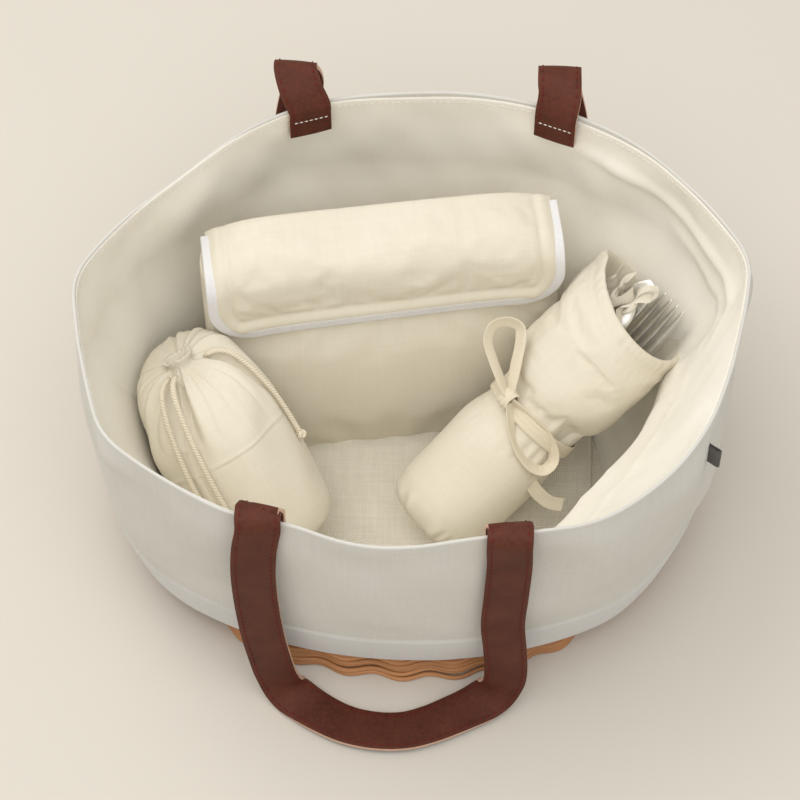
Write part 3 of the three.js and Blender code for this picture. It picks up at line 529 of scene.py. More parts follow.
def cord_material():
    material, tree, shader = new_material("cotton_cord", 0.92, 0.15)
    uv = add_node(tree, "ShaderNodeTexCoord").outputs["UV"]
    axes = add_node(tree, "ShaderNodeSeparateXYZ", {"Vector": uv}).outputs
    lean = number(tree, "MULTIPLY_ADD", axes[0], 240.0, number(tree, "MULTIPLY", axes[1], 480.0))
    plies = number(tree, "ABSOLUTE", number(tree, "SINE", number(tree, "MULTIPLY", lean, math.pi)))
    # The colour follows the ply ridges, so the grooves between plies get painted shade.
    paint(tree, shader, plies, (0.66, 0.575, 0.43), (0.79, 0.715, 0.57))
    bump(tree, shader, plies, 0.8, 0.0005)
    return material


leather = leather_material()
leather_edge = fibre_material("leather_edge", (0.46, 0.27, 0.19), (0.72, 0.50, 0.38), 900)
red_thread = fibre_material("red_thread", (0.10, 0.008, 0.008), (0.20, 0.025, 0.02), 1500, 0.7)
white_thread = fibre_material("white_thread", (0.72, 0.69, 0.62), (0.86, 0.84, 0.78), 1500, 0.8)
cream_thread = fibre_material("cream_thread", (0.66, 0.59, 0.45), (0.80, 0.74, 0.61), 1500, 0.8)
cotton_cord = cord_material()

# %% [markdown]
# Willow rods are streaked along their length and shine a little. Table steel is polished, with
# a faint unevenness in its gloss.


# %% Willow and steel materials
def willow_material(name, coordinates, stretch):
    material, tree, shader = new_material(name, 0.5)
    shader.inputs["Specular IOR Level"].default_value = 0.4
    at = add_node(tree, "ShaderNodeTexCoord").outputs[coordinates]
    streak = stretched_noise(tree, at, stretch, 60.0, 6.0)
    patches = add_node(tree, "ShaderNodeTexNoise", {"Vector": at, "Scale": 9.0, "Detail": 3.0}).outputs["Fac"]
    fac = number(tree, "SUBTRACT", number(tree, "ADD", streak, patches), 0.45)
    paint(tree, shader, fac, (0.22, 0.078, 0.026), (0.66, 0.32, 0.13))
    bump(tree, shader, streak, 0.4, 0.0006)
    return material


def steel_material():
    material, tree, shader = new_material("bright_steel", 0.18, metallic=1.0)
    at = add_node(tree, "ShaderNodeTexCoord").outputs["Object"]
    worn = add_node(tree, "ShaderNodeTexNoise", {"Vector": at, "Scale": 260.0, "Detail": 4.0}).outputs["Fac"]
    paint(tree, shader, worn, (0.66, 0.65, 0.62), (0.82, 0.81, 0.78))
    tree.links.new(number(tree, "MULTIPLY_ADD", worn, 0.14, 0.27), shader.inputs["Roughness"])
    return material


rod_willow = willow_material("rod_willow", "UV", (8.0, 0.25, 1.0))
tray_willow = willow_material("tray_willow", "Object", (1.0, 1.0, 6.0))
bright_steel = steel_material()
print("materials:", len(bpy.data.materials))

# %% [markdown]
# ## Drawstring cords
# Three limp cotton cords leave the neck of the drawstring bag, bow out and hang down its side.
# They come first, because their routes are fixed by the CAD solids. A mesh tube with its own
# UV map lets the twist of the cord follow it.


# %% The leaning frames of the bag and the roll
def leaning(foot, axis):
    z = unit(np.array(axis, float))
    x = unit(np.cross((0, 0, 1), z))
    axes = np.array([x, np.cross(z, x), z])
    return lambda p: np.asarray(p, float) @ axes + np.array(foot, float)


in_bag = leaning((-91, -74, 40.39), (-73, 84, 110))
in_roll = leaning((14, -55, 36.5), (154, 124, 119))

# %% Drawstring cords
BAG_LENGTH = 150
CORD = 4.0


def bag_reach(h):
    """The radius of the bag's CAD solid at a height."""
    return np.interp(h, [0, 5, 16, 82.5, 114, 138, 150, 161], [34.6, 44.2, 48, 48, 42.5, 29.6, 15.6, 24.6])


def cord_route(degrees, length):
    falls = [(0, 0), (1, 8), (6, 9), (20, 5), (44, 1.5), (0.7 * length, 0.8), (length, 0.5)]
    a = math.radians(degrees)
    places = []
    for below, extra in falls:
        r = bag_reach(BAG_LENGTH - below) + CORD / 2 + 0.7 + extra
        places.append((r * math.cos(a), r * math.sin(a), BAG_LENGTH - below))
    return in_bag(through(places, 36))


def cord_knot(name, end, way):
    """A small overhand knot: a loop of cord turned twice round itself."""
    turn = np.linspace(0, 2 * math.pi, 49)
    side = unit(np.cross(way, (0.2, 0.3, 0.9)))
    other = np.cross(way, side)
    r = 1.6 + 0.8 * np.cos(3 * turn)
    line = end + side * (r * np.cos(2 * turn))[:, None] + other * (r * np.sin(2 * turn))[:, None]
    line = line + way * (1.5 * np.sin(3 * turn))[:, None]
    return tube(name, line, 1.55, 10, ring=True)


drawstrings = {"left_1": (48, 112), "left_2": (31, 100), "right": (150, 84)}
for name, (degrees, length) in drawstrings.items():
    route = cord_route(degrees, length)
    cord = tube(f"drawstring_{name}_cord", route, CORD / 2, 14)
    finish_piece(cord, "cord", cotton_cord, body="drawstring_bag", stands_for=[f"drawstring_{name}"])
    knot = cord_knot(f"drawstring_{name}_knot", route[-1], unit(route[-1] - route[-2]))
    finish_piece(knot, "cord", cotton_cord, body="drawstring_bag")

# %% [markdown]
# ## Willow tray
# The tray is woven in the plain way: each rod goes outside one stake and inside the next, and
# the rod above it goes the other way. Below the canvas skirt only the lowest rods show. Each
# rod is a round tube on a wavy ring, a little uneven as grown wood is.

# %% Woven rods
STAKES = 32
TRAY_HALF_WIDTH, TRAY_HALF_DEPTH, TRAY_HEIGHT, TRAY_FLARE = 191, 150, 97, 9
turn = np.linspace(0, 2 * math.pi, 513)


def woven_band(node, bottom, rods, thick, out, waves, first):
    """A band of rods: each one waves in and out between the stakes as it goes round."""
    pieces = []
    for i in range(rods):
        z = bottom + thick * (0.5 + 0.96 * i)
        phase = math.pi * (i % 2) if waves < STAKES else 0.12 * i
        wander = 0.5 * np.sin(3 * turn + 2 * i) + 0.4 * np.sin(8 * turn + 3 * i)
        swing = (2.2 if waves == STAKES else 4.2) * np.cos(waves * turn + phase)
        corners = np.maximum(0, np.cos(turn + 2.2)) ** 14 + 0.6 * np.maximum(0, np.cos(turn + 1.0)) ** 14
        stand_out = out * (np.sin(turn) ** 2 - 0.4 * np.cos(turn) ** 2 + 7.0 * corners)
        step = 1.5 * (rods - 1 - i) if waves == STAKES else 0
        reach = TRAY_FLARE * z / TRAY_HEIGHT + stand_out + step * np.sin(turn) ** 2 + swing + wander
        ring = xyz(
            (TRAY_HALF_WIDTH + reach) * np.cos(turn),
            (TRAY_HALF_DEPTH + reach) * np.sin(turn),
            z + 0.35 * np.sin(5 * turn + 1.7 * i) + 0.3 * np.sin(waves * turn + i),
        )
        size = thick / 2 * (1 + 0.08 * np.sin(2 * turn + i) + 0.05 * np.sin(11 * turn + 2 * i))
        rod = tube("rod", ring, size, 8, ring=True)
        change_uv(rod, lambda uv: uv + 0.37 * (i + first))
        pieces.append(rod)
    return join(node.replace("willow", "rods_of"), pieces)


bands = {
    "willow_foot_wale": (0.6, 7, 3.8, 0.8, STAKES),
    "willow_siding_1": (26.9, 4, 5.4, 0, STAKES // 2),
    "willow_siding_2": (48.5, 3, 5.4, 0, STAKES // 2),
    "willow_siding_3": (64.7, 3, 5.4, 0, STAKES // 2),
}
laid = 0
for node, (bottom, rods, thick, out, waves) in bands.items():
    rods_piece = woven_band(node, bottom, rods, thick, out, waves, laid)
    finish_piece(rods_piece, "willow", rod_willow, body="basket", stands_for=[node])
    laid += rods
for node in ("willow_floor", "willow_stakes_and_border"):
    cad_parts[node].data.materials.clear()
    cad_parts[node].data.materials.append(tray_willow)
print("willow rods laid:", laid)

# %% [markdown]
# ## Canvas upper
# Stiff canvas stands round the tray. Its lower edge has a deep stitched hem, and its top edge
# folds over the rim. Hand-sewn cloth never keeps a true oval: it runs straighter between the
# corners and bulges at them, so the wall is a grid laid on an oval with bends in its rim.

# %% The wall's oval and its bends
RIM_HEIGHT = 245
SKIRT_HEIGHT = 31
HEM_LINE = 73
RIM_BENDS = np.array(
    [
        [-173, 0.988], [-161, 0.998], [-152, 1.03], [-146, 1.06], [-138, 1.042], [-128, 1.024],
        [-117, 1.02], [-110, 0.985], [-98, 1.022], [-90, 1.018], [-79, 0.992], [-68, 1.01],
        [-58, 1.05], [-50, 1.04], [-42, 1.028], [-30, 0.998], [-18, 0.972], [-5, 0.97],
        [6, 1.0], [15, 1.04], [24, 1.018], [36, 1.01], [47, 1.018], [59, 1.012], [70, 1.01],
        [81, 0.997], [92, 0.974], [106, 0.982], [115, 0.966], [125, 0.944], [136, 0.915],
        [146, 0.912], [156, 0.936], [166, 0.97], [174, 1.008],
    ]
)
SKIRT_BENDS = np.array(
    [
        [-170, 1.02], [-155, 1.06], [-145, 1.075], [-137, 1.07], [-126, 1.04], [-112, 1.005], [-100, 0.99],
        [-90, 0.984], [-76, 0.992], [-62, 1.012], [-47, 1.045], [-35, 1.03], [-15, 1.005], [5, 1.0],
        [60, 1.0], [120, 1.0], [175, 1.0],
    ]
)
# where a ridge runs down the wall in degrees, how it leans, and how high it is
RIDGES = ((-146, -0.22, 7), (-58, -0.16, 4.5), (14, 0.08, 4.5), (-30, 0.2, 3), (150, -0.2, 3))


def canvas_reach(z):
    rise = np.clip((z - SKIRT_HEIGHT) / (RIM_HEIGHT - SKIRT_HEIGHT), 0, 1)
    ease = 1 - (1 - rise) ** 2
    return 205 + 25 * ease, 163.5 + 17.5 * ease


def smooth(low, high, x):
    t = np.clip((x - low) / (high - low), 0, 1)
    return t * t * (3 - 2 * t)


def hump(x, width):
    return np.exp(-((x / width) ** 2))


def bend_at(angle, bends):
    around = np.concatenate([bends + (turns, 0) for turns in (-360, 0, 360)])
    degrees = (np.degrees(angle) + 180) % 360 - 180
    near = [np.interp(degrees + step, around[:, 0], around[:, 1]) for step in (-4, -2, 0, 2, 4)]
    return np.mean(near, axis=0)


def wall_bend(angle, z):
    up = smooth(45, 235, z)
    return bend_at(angle, SKIRT_BENDS) * (1 - up) + bend_at(angle, RIM_BENDS) * up


def apart(angle, degrees):
    return (angle - math.radians(degrees) + math.pi) % (2 * math.pi) - math.pi


def soft_folds(angle, z):
    body = smooth(78, 120, z) * (1 - smooth(205, 240, z))
    waves = 2.0 * np.sin(5 * angle + 0.4 + z / 45) + 1.5 * np.sin(9 * angle + 1.7 - z / 34)
    ridges = 0
    for degrees, lean, high in RIDGES:
        off = apart(angle, degrees) * 205 + lean * (RIM_HEIGHT - z)
        ridges = ridges + high * np.maximum(0, 1 - np.abs(off) / 36) ** 1.2 * smooth(70, 150, z)
    return body * (waves + 1.0 * np.sin(15 * angle + 2 + z / 24)) + ridges * (1 - smooth(215, 245, z))


def on_wall(angle, z, inset, folds=1.0):
    half_width, half_depth = canvas_reach(z)
    bend = wall_bend(angle, z)
    push = folds * soft_folds(angle, z) - inset
    return xyz((half_width * bend + push) * np.cos(angle), (half_depth * bend + push) * np.sin(angle), z)


# %% Canvas wall with hem and rim
RIM_FOLD = 1.3
HEM_THICKNESS = 1.3
GIRTH = 1290
WALL_COLUMNS = 384
fold = np.linspace(0, math.pi, 9)
hem_heights = np.linspace(33, HEM_LINE - 1.0, 14)
heights = np.concatenate([hem_heights, np.linspace(HEM_LINE, RIM_HEIGHT - 2.5, 70)])
rim_z = RIM_HEIGHT - RIM_FOLD + RIM_FOLD * np.sin(fold)
wall_z = np.concatenate([[48, 40, 34], 32 - 1.0 * np.sin(fold), heights, rim_z, [240, 236]])
doubled = np.where(heights < HEM_LINE - 0.5, -HEM_THICKNESS, 0.0)
lower_edge = 1.0 + 1.0 * np.cos(fold) - HEM_THICKNESS * (1 - np.cos(fold)) / 2
rim_in = RIM_FOLD - RIM_FOLD * np.cos(fold)
wall_in = np.concatenate([[2.2] * 3, lower_edge, doubled, rim_in, [2 * RIM_FOLD] * 2])
wall_run = np.concatenate([[0], np.cumsum(np.hypot(np.diff(wall_z), np.diff(wall_in)))])


def lay_canvas(u, v):
    angle = u * 2 * math.pi
    z, inset = along_rows(wall_z, v), along_rows(wall_in, v)
    sag = 1.0 * np.sin(3 * angle + 1) + 0.8 * np.sin(11 * angle) + 3 * hump(apart(angle, 142), 0.4)
    return on_wall(angle, z - sag * smooth(190, 240, z), inset)


def canvas_threads(u, v):
    return np.stack([u * GIRTH, along_rows(wall_run, v)], axis=1)


canvas = lay("canvas_upper", WALL_COLUMNS, len(wall_z) - 1, lay_canvas, canvas_threads)
weld(canvas)
apply(canvas, "SOLIDIFY", thickness=0.0008, offset=-1.0)
finish_piece(
    canvas, "canvas", canvas_cloth, hem_cloth_with_painted_light, body="basket",
    stands_for=["canvas_right", "canvas_back", "canvas_left", "canvas_front", "rim_hem"],
)
# Faces below the hem line take the hem cloth, painted lighter and cooler as if lit from the floor.
for face in canvas.data.polygons:
    if face.center.z < (HEM_LINE - 0.6) * MM:
        face.material_index = 1

# %% [markdown]
# ## Lining
# A cream cotton bag hangs from the rim, passes over the tray's border and lies on the floor.
# It is laid the same way as the canvas, 3 mm inside it, with a loose curve at the bottom. At
# the front right it hangs slack and shows as a pale band with an edge.

# %% Lining walls
lining_rows = np.array(
    [
        # height, half width and half depth inside the tray
        [7.4, 142, 106],
        [7.8, 156, 118],
        [10, 166, 128],
        [15, 173, 133.5],
        [24, 178, 138],
        [38, 181.5, 141],
        [60, 184.5, 143.6],
        [97, 188.4, 147.4],
    ]
)
lining_z = np.concatenate([np.linspace(7.4, 30, 16), np.linspace(33, 242, 80)])
LINING_INSET = 3.1


def lining_folds(angle, z):
    """Two long soft folds below the rim at the back right, and small ripples everywhere."""
    ripples = 0.5 * np.sin(21 * angle + z / 18) + 0.35 * np.sin(34 * angle - z / 11)
    first = np.interp(np.degrees(angle), [2, 25, 62], [192, 200, 214])
    second = np.interp(np.degrees(angle), [-12, 20, 40], [165, 172, 186])
    near_first = smooth(0, 0.25, angle) * (1 - smooth(0.9, 1.15, angle))
    near_second = smooth(0, 0.15, angle) * (1 - smooth(0.5, 0.75, angle))
    long_folds = 3.0 * near_first * hump(z - first, 7) + 1.8 * near_second * hump(z - second, 6)
    return (1 - smooth(218, 238, z)) * ripples - long_folds


def slack(angle, z):
    """At the front right the lining hangs in: it slopes from the rim to an edge, then drops."""
    degrees = np.degrees(apart(angle, 0))
    deep = np.interp(degrees, [-70, -53, -42, -30, -20, -7, 9, 20], [0, 38, 47, 48, 44, 36, 24, 0])
    return deep * np.interp(z, [50, 95, 118, 130, 160, 200, 242], [0, 0.25, 0.9, 1, 0.9, 0.45, 0])


def lay_lining(u, v):
    angle = u * 2 * math.pi
    z = along_rows(lining_z, v)
    bend = wall_bend(angle, z)
    over = smooth(80, 170, z)
    in_tray = [np.interp(z, lining_rows[:, 0], halves) for halves in lining_rows[:, 1:].T]
    half_width, half_depth = [
        low * (1 - over) + (high * bend - LINING_INSET) * over for low, high in zip(in_tray, canvas_reach(z))
    ]
    seam = 1.0 * hump(np.sin(angle) * half_depth, 1.5) * (1 - smooth(120, 160, z))
    hang = slack(angle, z)
    push = over * (soft_folds(angle, z) + lining_folds(angle, z)) * (1 - hang / 80) + seam - hang
    return xyz((half_width + push) * np.cos(angle), (half_depth + push) * np.sin(angle), z)


lining = lay("lining_walls", WALL_COLUMNS, len(lining_z) - 1, lay_lining, (GIRTH, 290))
weld(lining)
apply(lining, "SOLIDIFY", thickness=0.0006, offset=1.0)
finish_piece(
    lining, "lining", lining_cloth, body="basket",
    stands_for=["lining_right", "lining_back", "lining_left", "lining_front"],
)
RIM_STITCH_HEIGHT = 236.5
hem_row = on_wall(np.linspace(0, 2 * math.pi, 500), RIM_STITCH_HEIGHT, LINING_INSET + 0.3, 0.0)
rim_seam = sew("rim_stitches", [(hem_row, unit(hem_row * (-1, -1, 0)))], 4.4, 3.4, 0.7)
finish_piece(rim_seam, "canvas", white_thread, body="basket")

# %% Lining floor
def lay_floor(u, v):
    angle, share = u * 2 * math.pi, np.maximum(v, 0.002)
    ripple = 0.3 * np.sin(8 * angle) * share
    return xyz(160 * share * np.cos(angle), 122 * share * np.sin(angle), 6.4 + ripple)


base_cloth = lay("lining_base", 96, 24, lay_floor, (900, 140))
weld(base_cloth)
apply(base_cloth, "SOLIDIFY", thickness=0.001, offset=0.0)
# The lining's floor round the pad wears the darker linen, which paints the shade lying in that strip.
finish_piece(base_cloth, "lining", linen_and_painted_floor_shade, body="basket", stands_for=["lining_floor"])

# %% [markdown]
# ## Linen floor pad
# A stiffened pad of coarse linen lies on the floor of the basket. A pad is two faces of cloth
# that meet in a seam, so one grid is wrapped round: half of it is the front, half the back.


# %% Helper for padded forms
def cushion(name, columns, rows, half_width, height, thick, edge, place, held):
    """half_width gives half the width at a height; place takes x, height and thickness."""

    def on_face(u, v):
        h = height * (1 - np.cos(math.pi * v)) / 2
        share = -np.cos(2 * math.pi * u)
        x = half_width(h) * share
        inside = np.minimum(half_width(h) * (1 - np.abs(share)), np.minimum(h, height - h))
        swell = np.sqrt(1 - (1 - np.clip(inside / edge, 0, 1)) ** 2)
        return x, h, np.where(u < 0.5, 0.5, -0.5) * thick * swell, inside

    def threads(u, v):
        x, h, _, _ = on_face(u, v)
        return np.stack([x + np.where(u > 0.5, 700, 0), h], axis=1)

    piece = lay(
        name, columns, rows, lambda u, v: place(*on_face(u, v)[:3]), threads,
        sewn=lambda u, v: held(*on_face(u, v)),
    )
    weld(piece)
    return piece


def rounded(half, height, lower, upper):
    def half_width(h):
        low = np.clip((lower - h) / lower, 0, 1)
        high = np.clip((upper - (height - h)) / upper, 0, 1)
        return half - lower * (1 - np.sqrt(1 - low**2)) - upper * (1 - np.sqrt(1 - high**2))

    return half_width


# %% Linen floor pad
PAD_HALF_WIDTH, PAD_HALF_DEPTH, PAD_CORNER = 134, 112, 58
pad_outline = rounded(PAD_HALF_WIDTH, 2 * PAD_HALF_DEPTH, PAD_CORNER, PAD_CORNER)
pad = cushion(
    "linen_floor_pad", 96, 56, pad_outline, 2 * PAD_HALF_DEPTH, 4.4, 4,
    lambda x, h, t: xyz(x, h - PAD_HALF_DEPTH, 9.8 + t + 0.5 * np.sin(x / 23) * np.sin(h / 31)),
    held=lambda x, h, t, inside: inside < 5,
)
fill(pad, 2, 1.2)
finish_piece(pad, "linen", linen_and_painted_floor_shade, body="basket", stands_for=["floor_pad"])

# %% [markdown]
# ## Side tab
# A short dark tape is folded in two and caught in the wall below the rim. It is a band that
# goes out, turns and comes back, with Solidify for the tape's thickness. It stays plain.

# %% Side tab
tab_angle = math.radians(-28.5)
root = on_wall(np.array([tab_angle]), np.array([211.0]), 0.0)[0]
way = unit(np.array([math.cos(tab_angle) / 230, math.sin(tab_angle) / 181, 0]))
beside = np.array([-way[1], way[0], 0])
fold_line = [(-1.4, -0.9), (3, -0.9), (7, -1.0), (9.2, -0.5), (9.2, 0.5), (7, 1.0), (3, 0.9), (-1.4, 0.9)]
tab_line = through([root + way * out + beside * side for out, side in fold_line], 40)
tab_outs = np.cross(directions(tab_line), (0, 0, 1))
side_tab = band("folded_side_tab", tab_line, tab_outs, 20, 10)
apply(side_tab, "SOLIDIFY", thickness=0.0008, offset=0.0)
finish_piece(side_tab, "tab", dark_tape, body="basket", stands_for=["side_tab"])

# %% [markdown]
# ## Leather handles
# Each handle is one strap: a tab sewn inside the rim, an arch over it, a hanging loop, and
# the same back again. A band is laid along that line, Solidify gives 3 mm of leather with a
# paler cut edge, and Bevel softens it.

# %% Strap line
STRAP_WIDTH = 30
STRAP_THICKNESS = 3


def over_the_rim(x, rim, turned, rise, back, lean):
    """The sewn tab and the arch over the rim, for a strap at x where the rim's wall is."""
    a = math.radians(turned)
    inside = np.array([-math.sin(a), math.cos(a), 0])
    wall = np.array([x, -rim, 0])

    def at(inward, z, out):
        return (*(wall + inside * inward + (0, 0, z)), *out)

    top = RIM_HEIGHT + rise
    facing = tuple(inside)
    return [
        at(8.2, 219, facing),
        at(8.0, 229, facing),
        at(7.8, 239, facing),
        at(7.2, RIM_HEIGHT + 3, (inside[0], inside[1], 0.15)),
        (x + 0.5 * lean, -rim + 5.4 - 0.42 * back, RIM_HEIGHT + 0.72 * rise, 0.5 * inside[0], 0.72, 0.7),
        (x + lean, -rim + 1.8 - back, top, 0, 0.05, 1),
        (x + lean, -rim - 3.2 - 1.25 * back, RIM_HEIGHT + 0.8 * rise, 0, -0.6, 0.8),
        (x + 0.5 * lean, -rim - 6.2 - 0.9 * back, RIM_HEIGHT, 0, -1, 0),
    ]


def strap_line(left, right, hanging):
    rows = over_the_rim(*left) + hanging + over_the_rim(*right)[::-1]
    line = through(rows, 340)
    return line[:, :3], unit(line[:, 3:])


def strap_row(line, outs, across, lift):
    along = directions(line)
    sideways = unit(np.cross(along, outs))
    facing = unit(np.cross(sideways, along))
    return line + sideways * across + facing * lift, facing * (1 if lift > 0 else -1)


# %% Front and rear handles
front_hang = [
    (-96.8, -175, 222, 0, -1, 0.1), (-98.6, -176.5, 190, 0, -1, 0), (-98.4, -176, 150, 0, -1, 0),
    (-96, -176, 100, 0, -1, 0), (-92, -176, 58, 0, -1, 0), (-88, -176.5, 30, 0, -0.98, 0.15),
    (-82, -178.5, 13, 0, -0.75, 0.66),
    (-71, -184.5, 5.5, 0, -0.15, 1), (-56, -193.5, 4, 0, 0.08, 1), (-38, -201.5, 3.8, 0, 0.12, 1),
    (-17, -205.5, 4, 0, 0.12, 1), (3, -204.8, 4.2, 0, 0.12, 1), (20, -199.8, 4.5, 0, 0.1, 1),
    (35, -193, 5, 0, 0.05, 1), (53, -184, 7, 0, -0.1, 1), (65, -178.5, 15, 0, -0.6, 0.8),
    (71.5, -177, 30, 0, -0.97, 0.25), (73, -176.5, 50, 0, -1, 0), (71.5, -176.5, 85, 0, -1, 0),
    (69, -177, 125, 0, -1, 0), (70, -178, 170, 0, -1, 0), (71, -178.5, 215, 0, -1, 0),
]
rear_hang = [
    (-106, -181, 200, 0, -1, 0), (-103, -178, 140, 0, -1, 0), (-97, -175, 75, 0, -1, 0),
    (-90, -175, 44, 0, -0.97, 0.25), (-78, -180, 24, 0, -0.8, 0.6), (-57, -192, 14, 0, -0.6, 0.8),
    (-29, -201, 10, 0, -0.5, 0.87), (0, -204.5, 9.4, 0, -0.5, 0.87), (29, -201, 10, 0, -0.5, 0.87),
    (57, -192, 14, 0, -0.6, 0.8), (76, -180, 24, 0, -0.8, 0.6), (86, -175, 44, 0, -0.97, 0.25),
    (90, -175, 75, 0, -1, 0), (90, -178, 140, 0, -1, 0), (88, -181, 200, 0, -1, 0),
]
handles = {
    # x, rim depth, turn of the wall, rise, reach backwards and sideways lean of each arch; the
    # strap bends between the last two points when the handle swings
    "front": ((-93.5, 165.2, -15, 6, 1, -0.5), (70.2, 173.0, 9, 6, 1, 0.3), front_hang, 1,
              (0, -168.96, 251), (-0.35, -176.32, 250.56)),
    "rear": ((-99, 165.2, -20, 21, 16, 1), (78.5, 165.8, 18, 21, 14, 8), rear_hang, -1,
             (0, -166.9, 260), (0, -176.86, 259.4)),
}
for place_name, (left, right, hanging, turned, bend_from, bend_to) in handles.items():
    line, outs = strap_line(left, right, hanging)
    line, outs = line * (turned, turned, 1), outs * (turned, turned, 1)
    strap = band(f"{place_name}_strap", line, outs, STRAP_WIDTH, 8, lambda u, v: 0.5 * np.sin(math.pi * u))
    for finish in (leather, leather_edge):
        strap.data.materials.append(finish)
    apply(strap, "SOLIDIFY", thickness=STRAP_THICKNESS * MM, offset=0.0, material_offset_rim=1)
    apply(strap, "BEVEL", width=0.0005, segments=2, limit_method="ANGLE")
    nodes = [f"{place_name}_handle_{part}" for part in ("strap", "tab_left", "tab_right")]
    finish_piece(strap, "leather", stands_for=nodes)
    rows = [strap_row(line, outs, side * 11.8, lift) for side in (-1, 1) for lift in (1.95, -1.5)]
    seams = sew(f"{place_name}_strap_stitches", rows, 5.6, 3.9, 1.0)
    finish_piece(seams, "leather", red_thread)
    across = []
    for x, rim, turn_degrees, *_ in (left, right):
        a = math.radians(turn_degrees)
        inside = np.array([-math.sin(a), math.cos(a), 0])
        sideways = np.array([math.cos(a), math.sin(a), 0])
        middle = np.array([x, -rim, 236]) + inside * 9.9
        row = np.array([middle - 13 * sideways, middle + 13 * sideways]) * (turned, turned, 1)
        across.append((through(row, 30), np.tile(inside * (turned, turned, 1), (30, 1))))
    tab_seams = sew(f"{place_name}_tab_stitches", across, 3.6, 2.9, 0.9)
    finish_piece(tab_seams, "leather", white_thread, body="basket")
    for piece in (strap, seams):
        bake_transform(piece)

# %% [markdown]
# ## Plate pouch
# The pouch is quilted cotton: a front and a back panel, a gusset round three sides, and a
# flap bound in white tape that folds over the top. Panels and flap are cushions whose seams
# are held while the cloth simulation fills them. The line of stitches inside the binding is
# held too, so the flap puffs on both sides of it.

# %% The pouch's leaning frame
POUCH_WIDTH, POUCH_HEIGHT = 258, 178
POUCH_LEAN, POUCH_TURN = math.radians(15), math.radians(9)


def in_pouch(x, y, z):
    y = y + z * math.tan(POUCH_LEAN)
    c, s = math.cos(POUCH_TURN), math.sin(POUCH_TURN)
    return xyz(c * x - s * y - 14, s * x + c * y + 26, z + 12.5)


# %% Pouch panels
def belly(x, h, full):
    return full * np.sin(math.pi * np.clip(h / 150, 0, 1)) * (1 - (x / 130) ** 2)


panel_outline = rounded(POUCH_WIDTH / 2 - 4, POUCH_HEIGHT - 2, 16, 20)
panels = {"front": (4.5, -1, 6.0), "back": (35.5, 1, 3.0)}
for name, (middle, way, full) in panels.items():
    panel = cushion(
        f"pouch_{name}_quilt", 88, 48, panel_outline, POUCH_HEIGHT, 7.5, 6,
        lambda x, h, t: in_pouch(x, middle + way * (t + belly(x, h, full)), h),
        held=lambda x, h, t, inside: (inside < 1) | (h > 126) | (t < -1),
    )
    fill(panel, 4, 6)
    subdivide(panel)
    finish_piece(panel, "cotton", cotton_cloth, body="plate_pouch", stands_for=[f"pouch_{name}_panel"])


# %% Pouch gusset
def gusset_line():
    turns = [(math.cos(a), math.sin(a)) for a in np.linspace(0, math.pi / 2, 10)]
    left = [(-124, z, -1, 0) for z in np.linspace(168, 20, 30)]
    round_left = [(-108 - 16 * out, 16 - 16 * down, -out, -down) for out, down in turns]
    bottom = [(x, 0, 0, -1) for x in np.linspace(-105, 0, 18)]
    half = np.array(left + round_left + bottom)
    return np.vstack([half, (half * (-1, 1, -1, 1))[::-1][1:]])


gusset_rows = gusset_line()


def lay_gusset(u, v):
    x, z, nx, nz = pick_rows(gusset_rows, v).T
    lift = 2.6 * np.sin(math.pi * u) * (0.1 + 0.9 * np.abs(nx))
    return in_pouch(x + nx * lift, 6 + 28 * u, z + nz * lift)


gusset = lay("pouch_gusset_band", 14, len(gusset_rows) - 1, lay_gusset, (30, 600))
apply(gusset, "SOLIDIFY", thickness=0.004, offset=0.0)
subdivide(gusset)
finish_piece(gusset, "cotton", cotton_cloth, body="plate_pouch", stands_for=["pouch_gusset"])

# %% Pouch flap
bend = [(0, 8 - 12.6 * math.sin(a), 170 + 12.6 * math.cos(a)) for a in np.linspace(0, math.pi / 2, 6)]
flap_line = through([(0, 39, 182.6), (0, 22, 183), *bend, (0, -4.6, 148.8), (0, -4.6, 130.6)], 200)
FLAP_LENGTH = run_along(flap_line)[-1]
FLAP_CORNER = 32
FLAP_HALF = 124
SEAM_INSET = 14
flap_along = directions(flap_line)


def on_flap(x, s, lift):
    s = s * (1 - 0.035 * x / FLAP_HALF)
    share = np.clip(s / FLAP_LENGTH, 0, 1)
    _, y, z = pick_rows(flap_line, share).T
    _, ay, az = pick_rows(flap_along, share).T
    past = np.maximum(0, s - FLAP_LENGTH)
    droop = 9 * np.clip(np.abs(x) / FLAP_HALF, 0, 1.1) ** 6
    return in_pouch(x + 1, y + az * lift + ay * past, z - ay * lift + az * past - droop)


def flap_half(s):
    inside = np.clip((FLAP_CORNER - (FLAP_LENGTH - s)) / FLAP_CORNER, 0, 1)
    return FLAP_HALF - FLAP_CORNER * (1 - np.sqrt(1 - inside**2))


def flap_held(x, h, t, inside):
    seams = (np.abs(x + 62) < 1.6) | (np.abs(x - 8) < 1.6) | (np.abs(x - 78) < 1.6)
    return (inside < 15.5) | (t < 0) | (seams & (h > 25))


def quilted(x, h, t):
    inside = np.minimum(flap_half(h) - np.abs(x), FLAP_LENGTH - h)
    groove = hump(inside - SEAM_INSET, 1.8)
    groove = groove + 0.5 * hump(np.abs(x - 14) - 42, 1.3) * (inside > SEAM_INSET)
    crown = 1 + 0.35 * hump(inside - 8, 3.5) + 0.3 * np.clip((inside - 16) / 14, 0, 1)
    return on_flap(x, h, t * crown * (1 - 0.55 * groove) + 0.6)


flap = cushion("pouch_flap_quilt", 132, 48, flap_half, FLAP_LENGTH, 6.6, 7, quilted, flap_held)
fill(flap, 3, 1.4)
subdivide(flap)
finish_piece(flap, "cotton", cotton_cloth, body="pouch_flap", stands_for=["pouch_flap"])


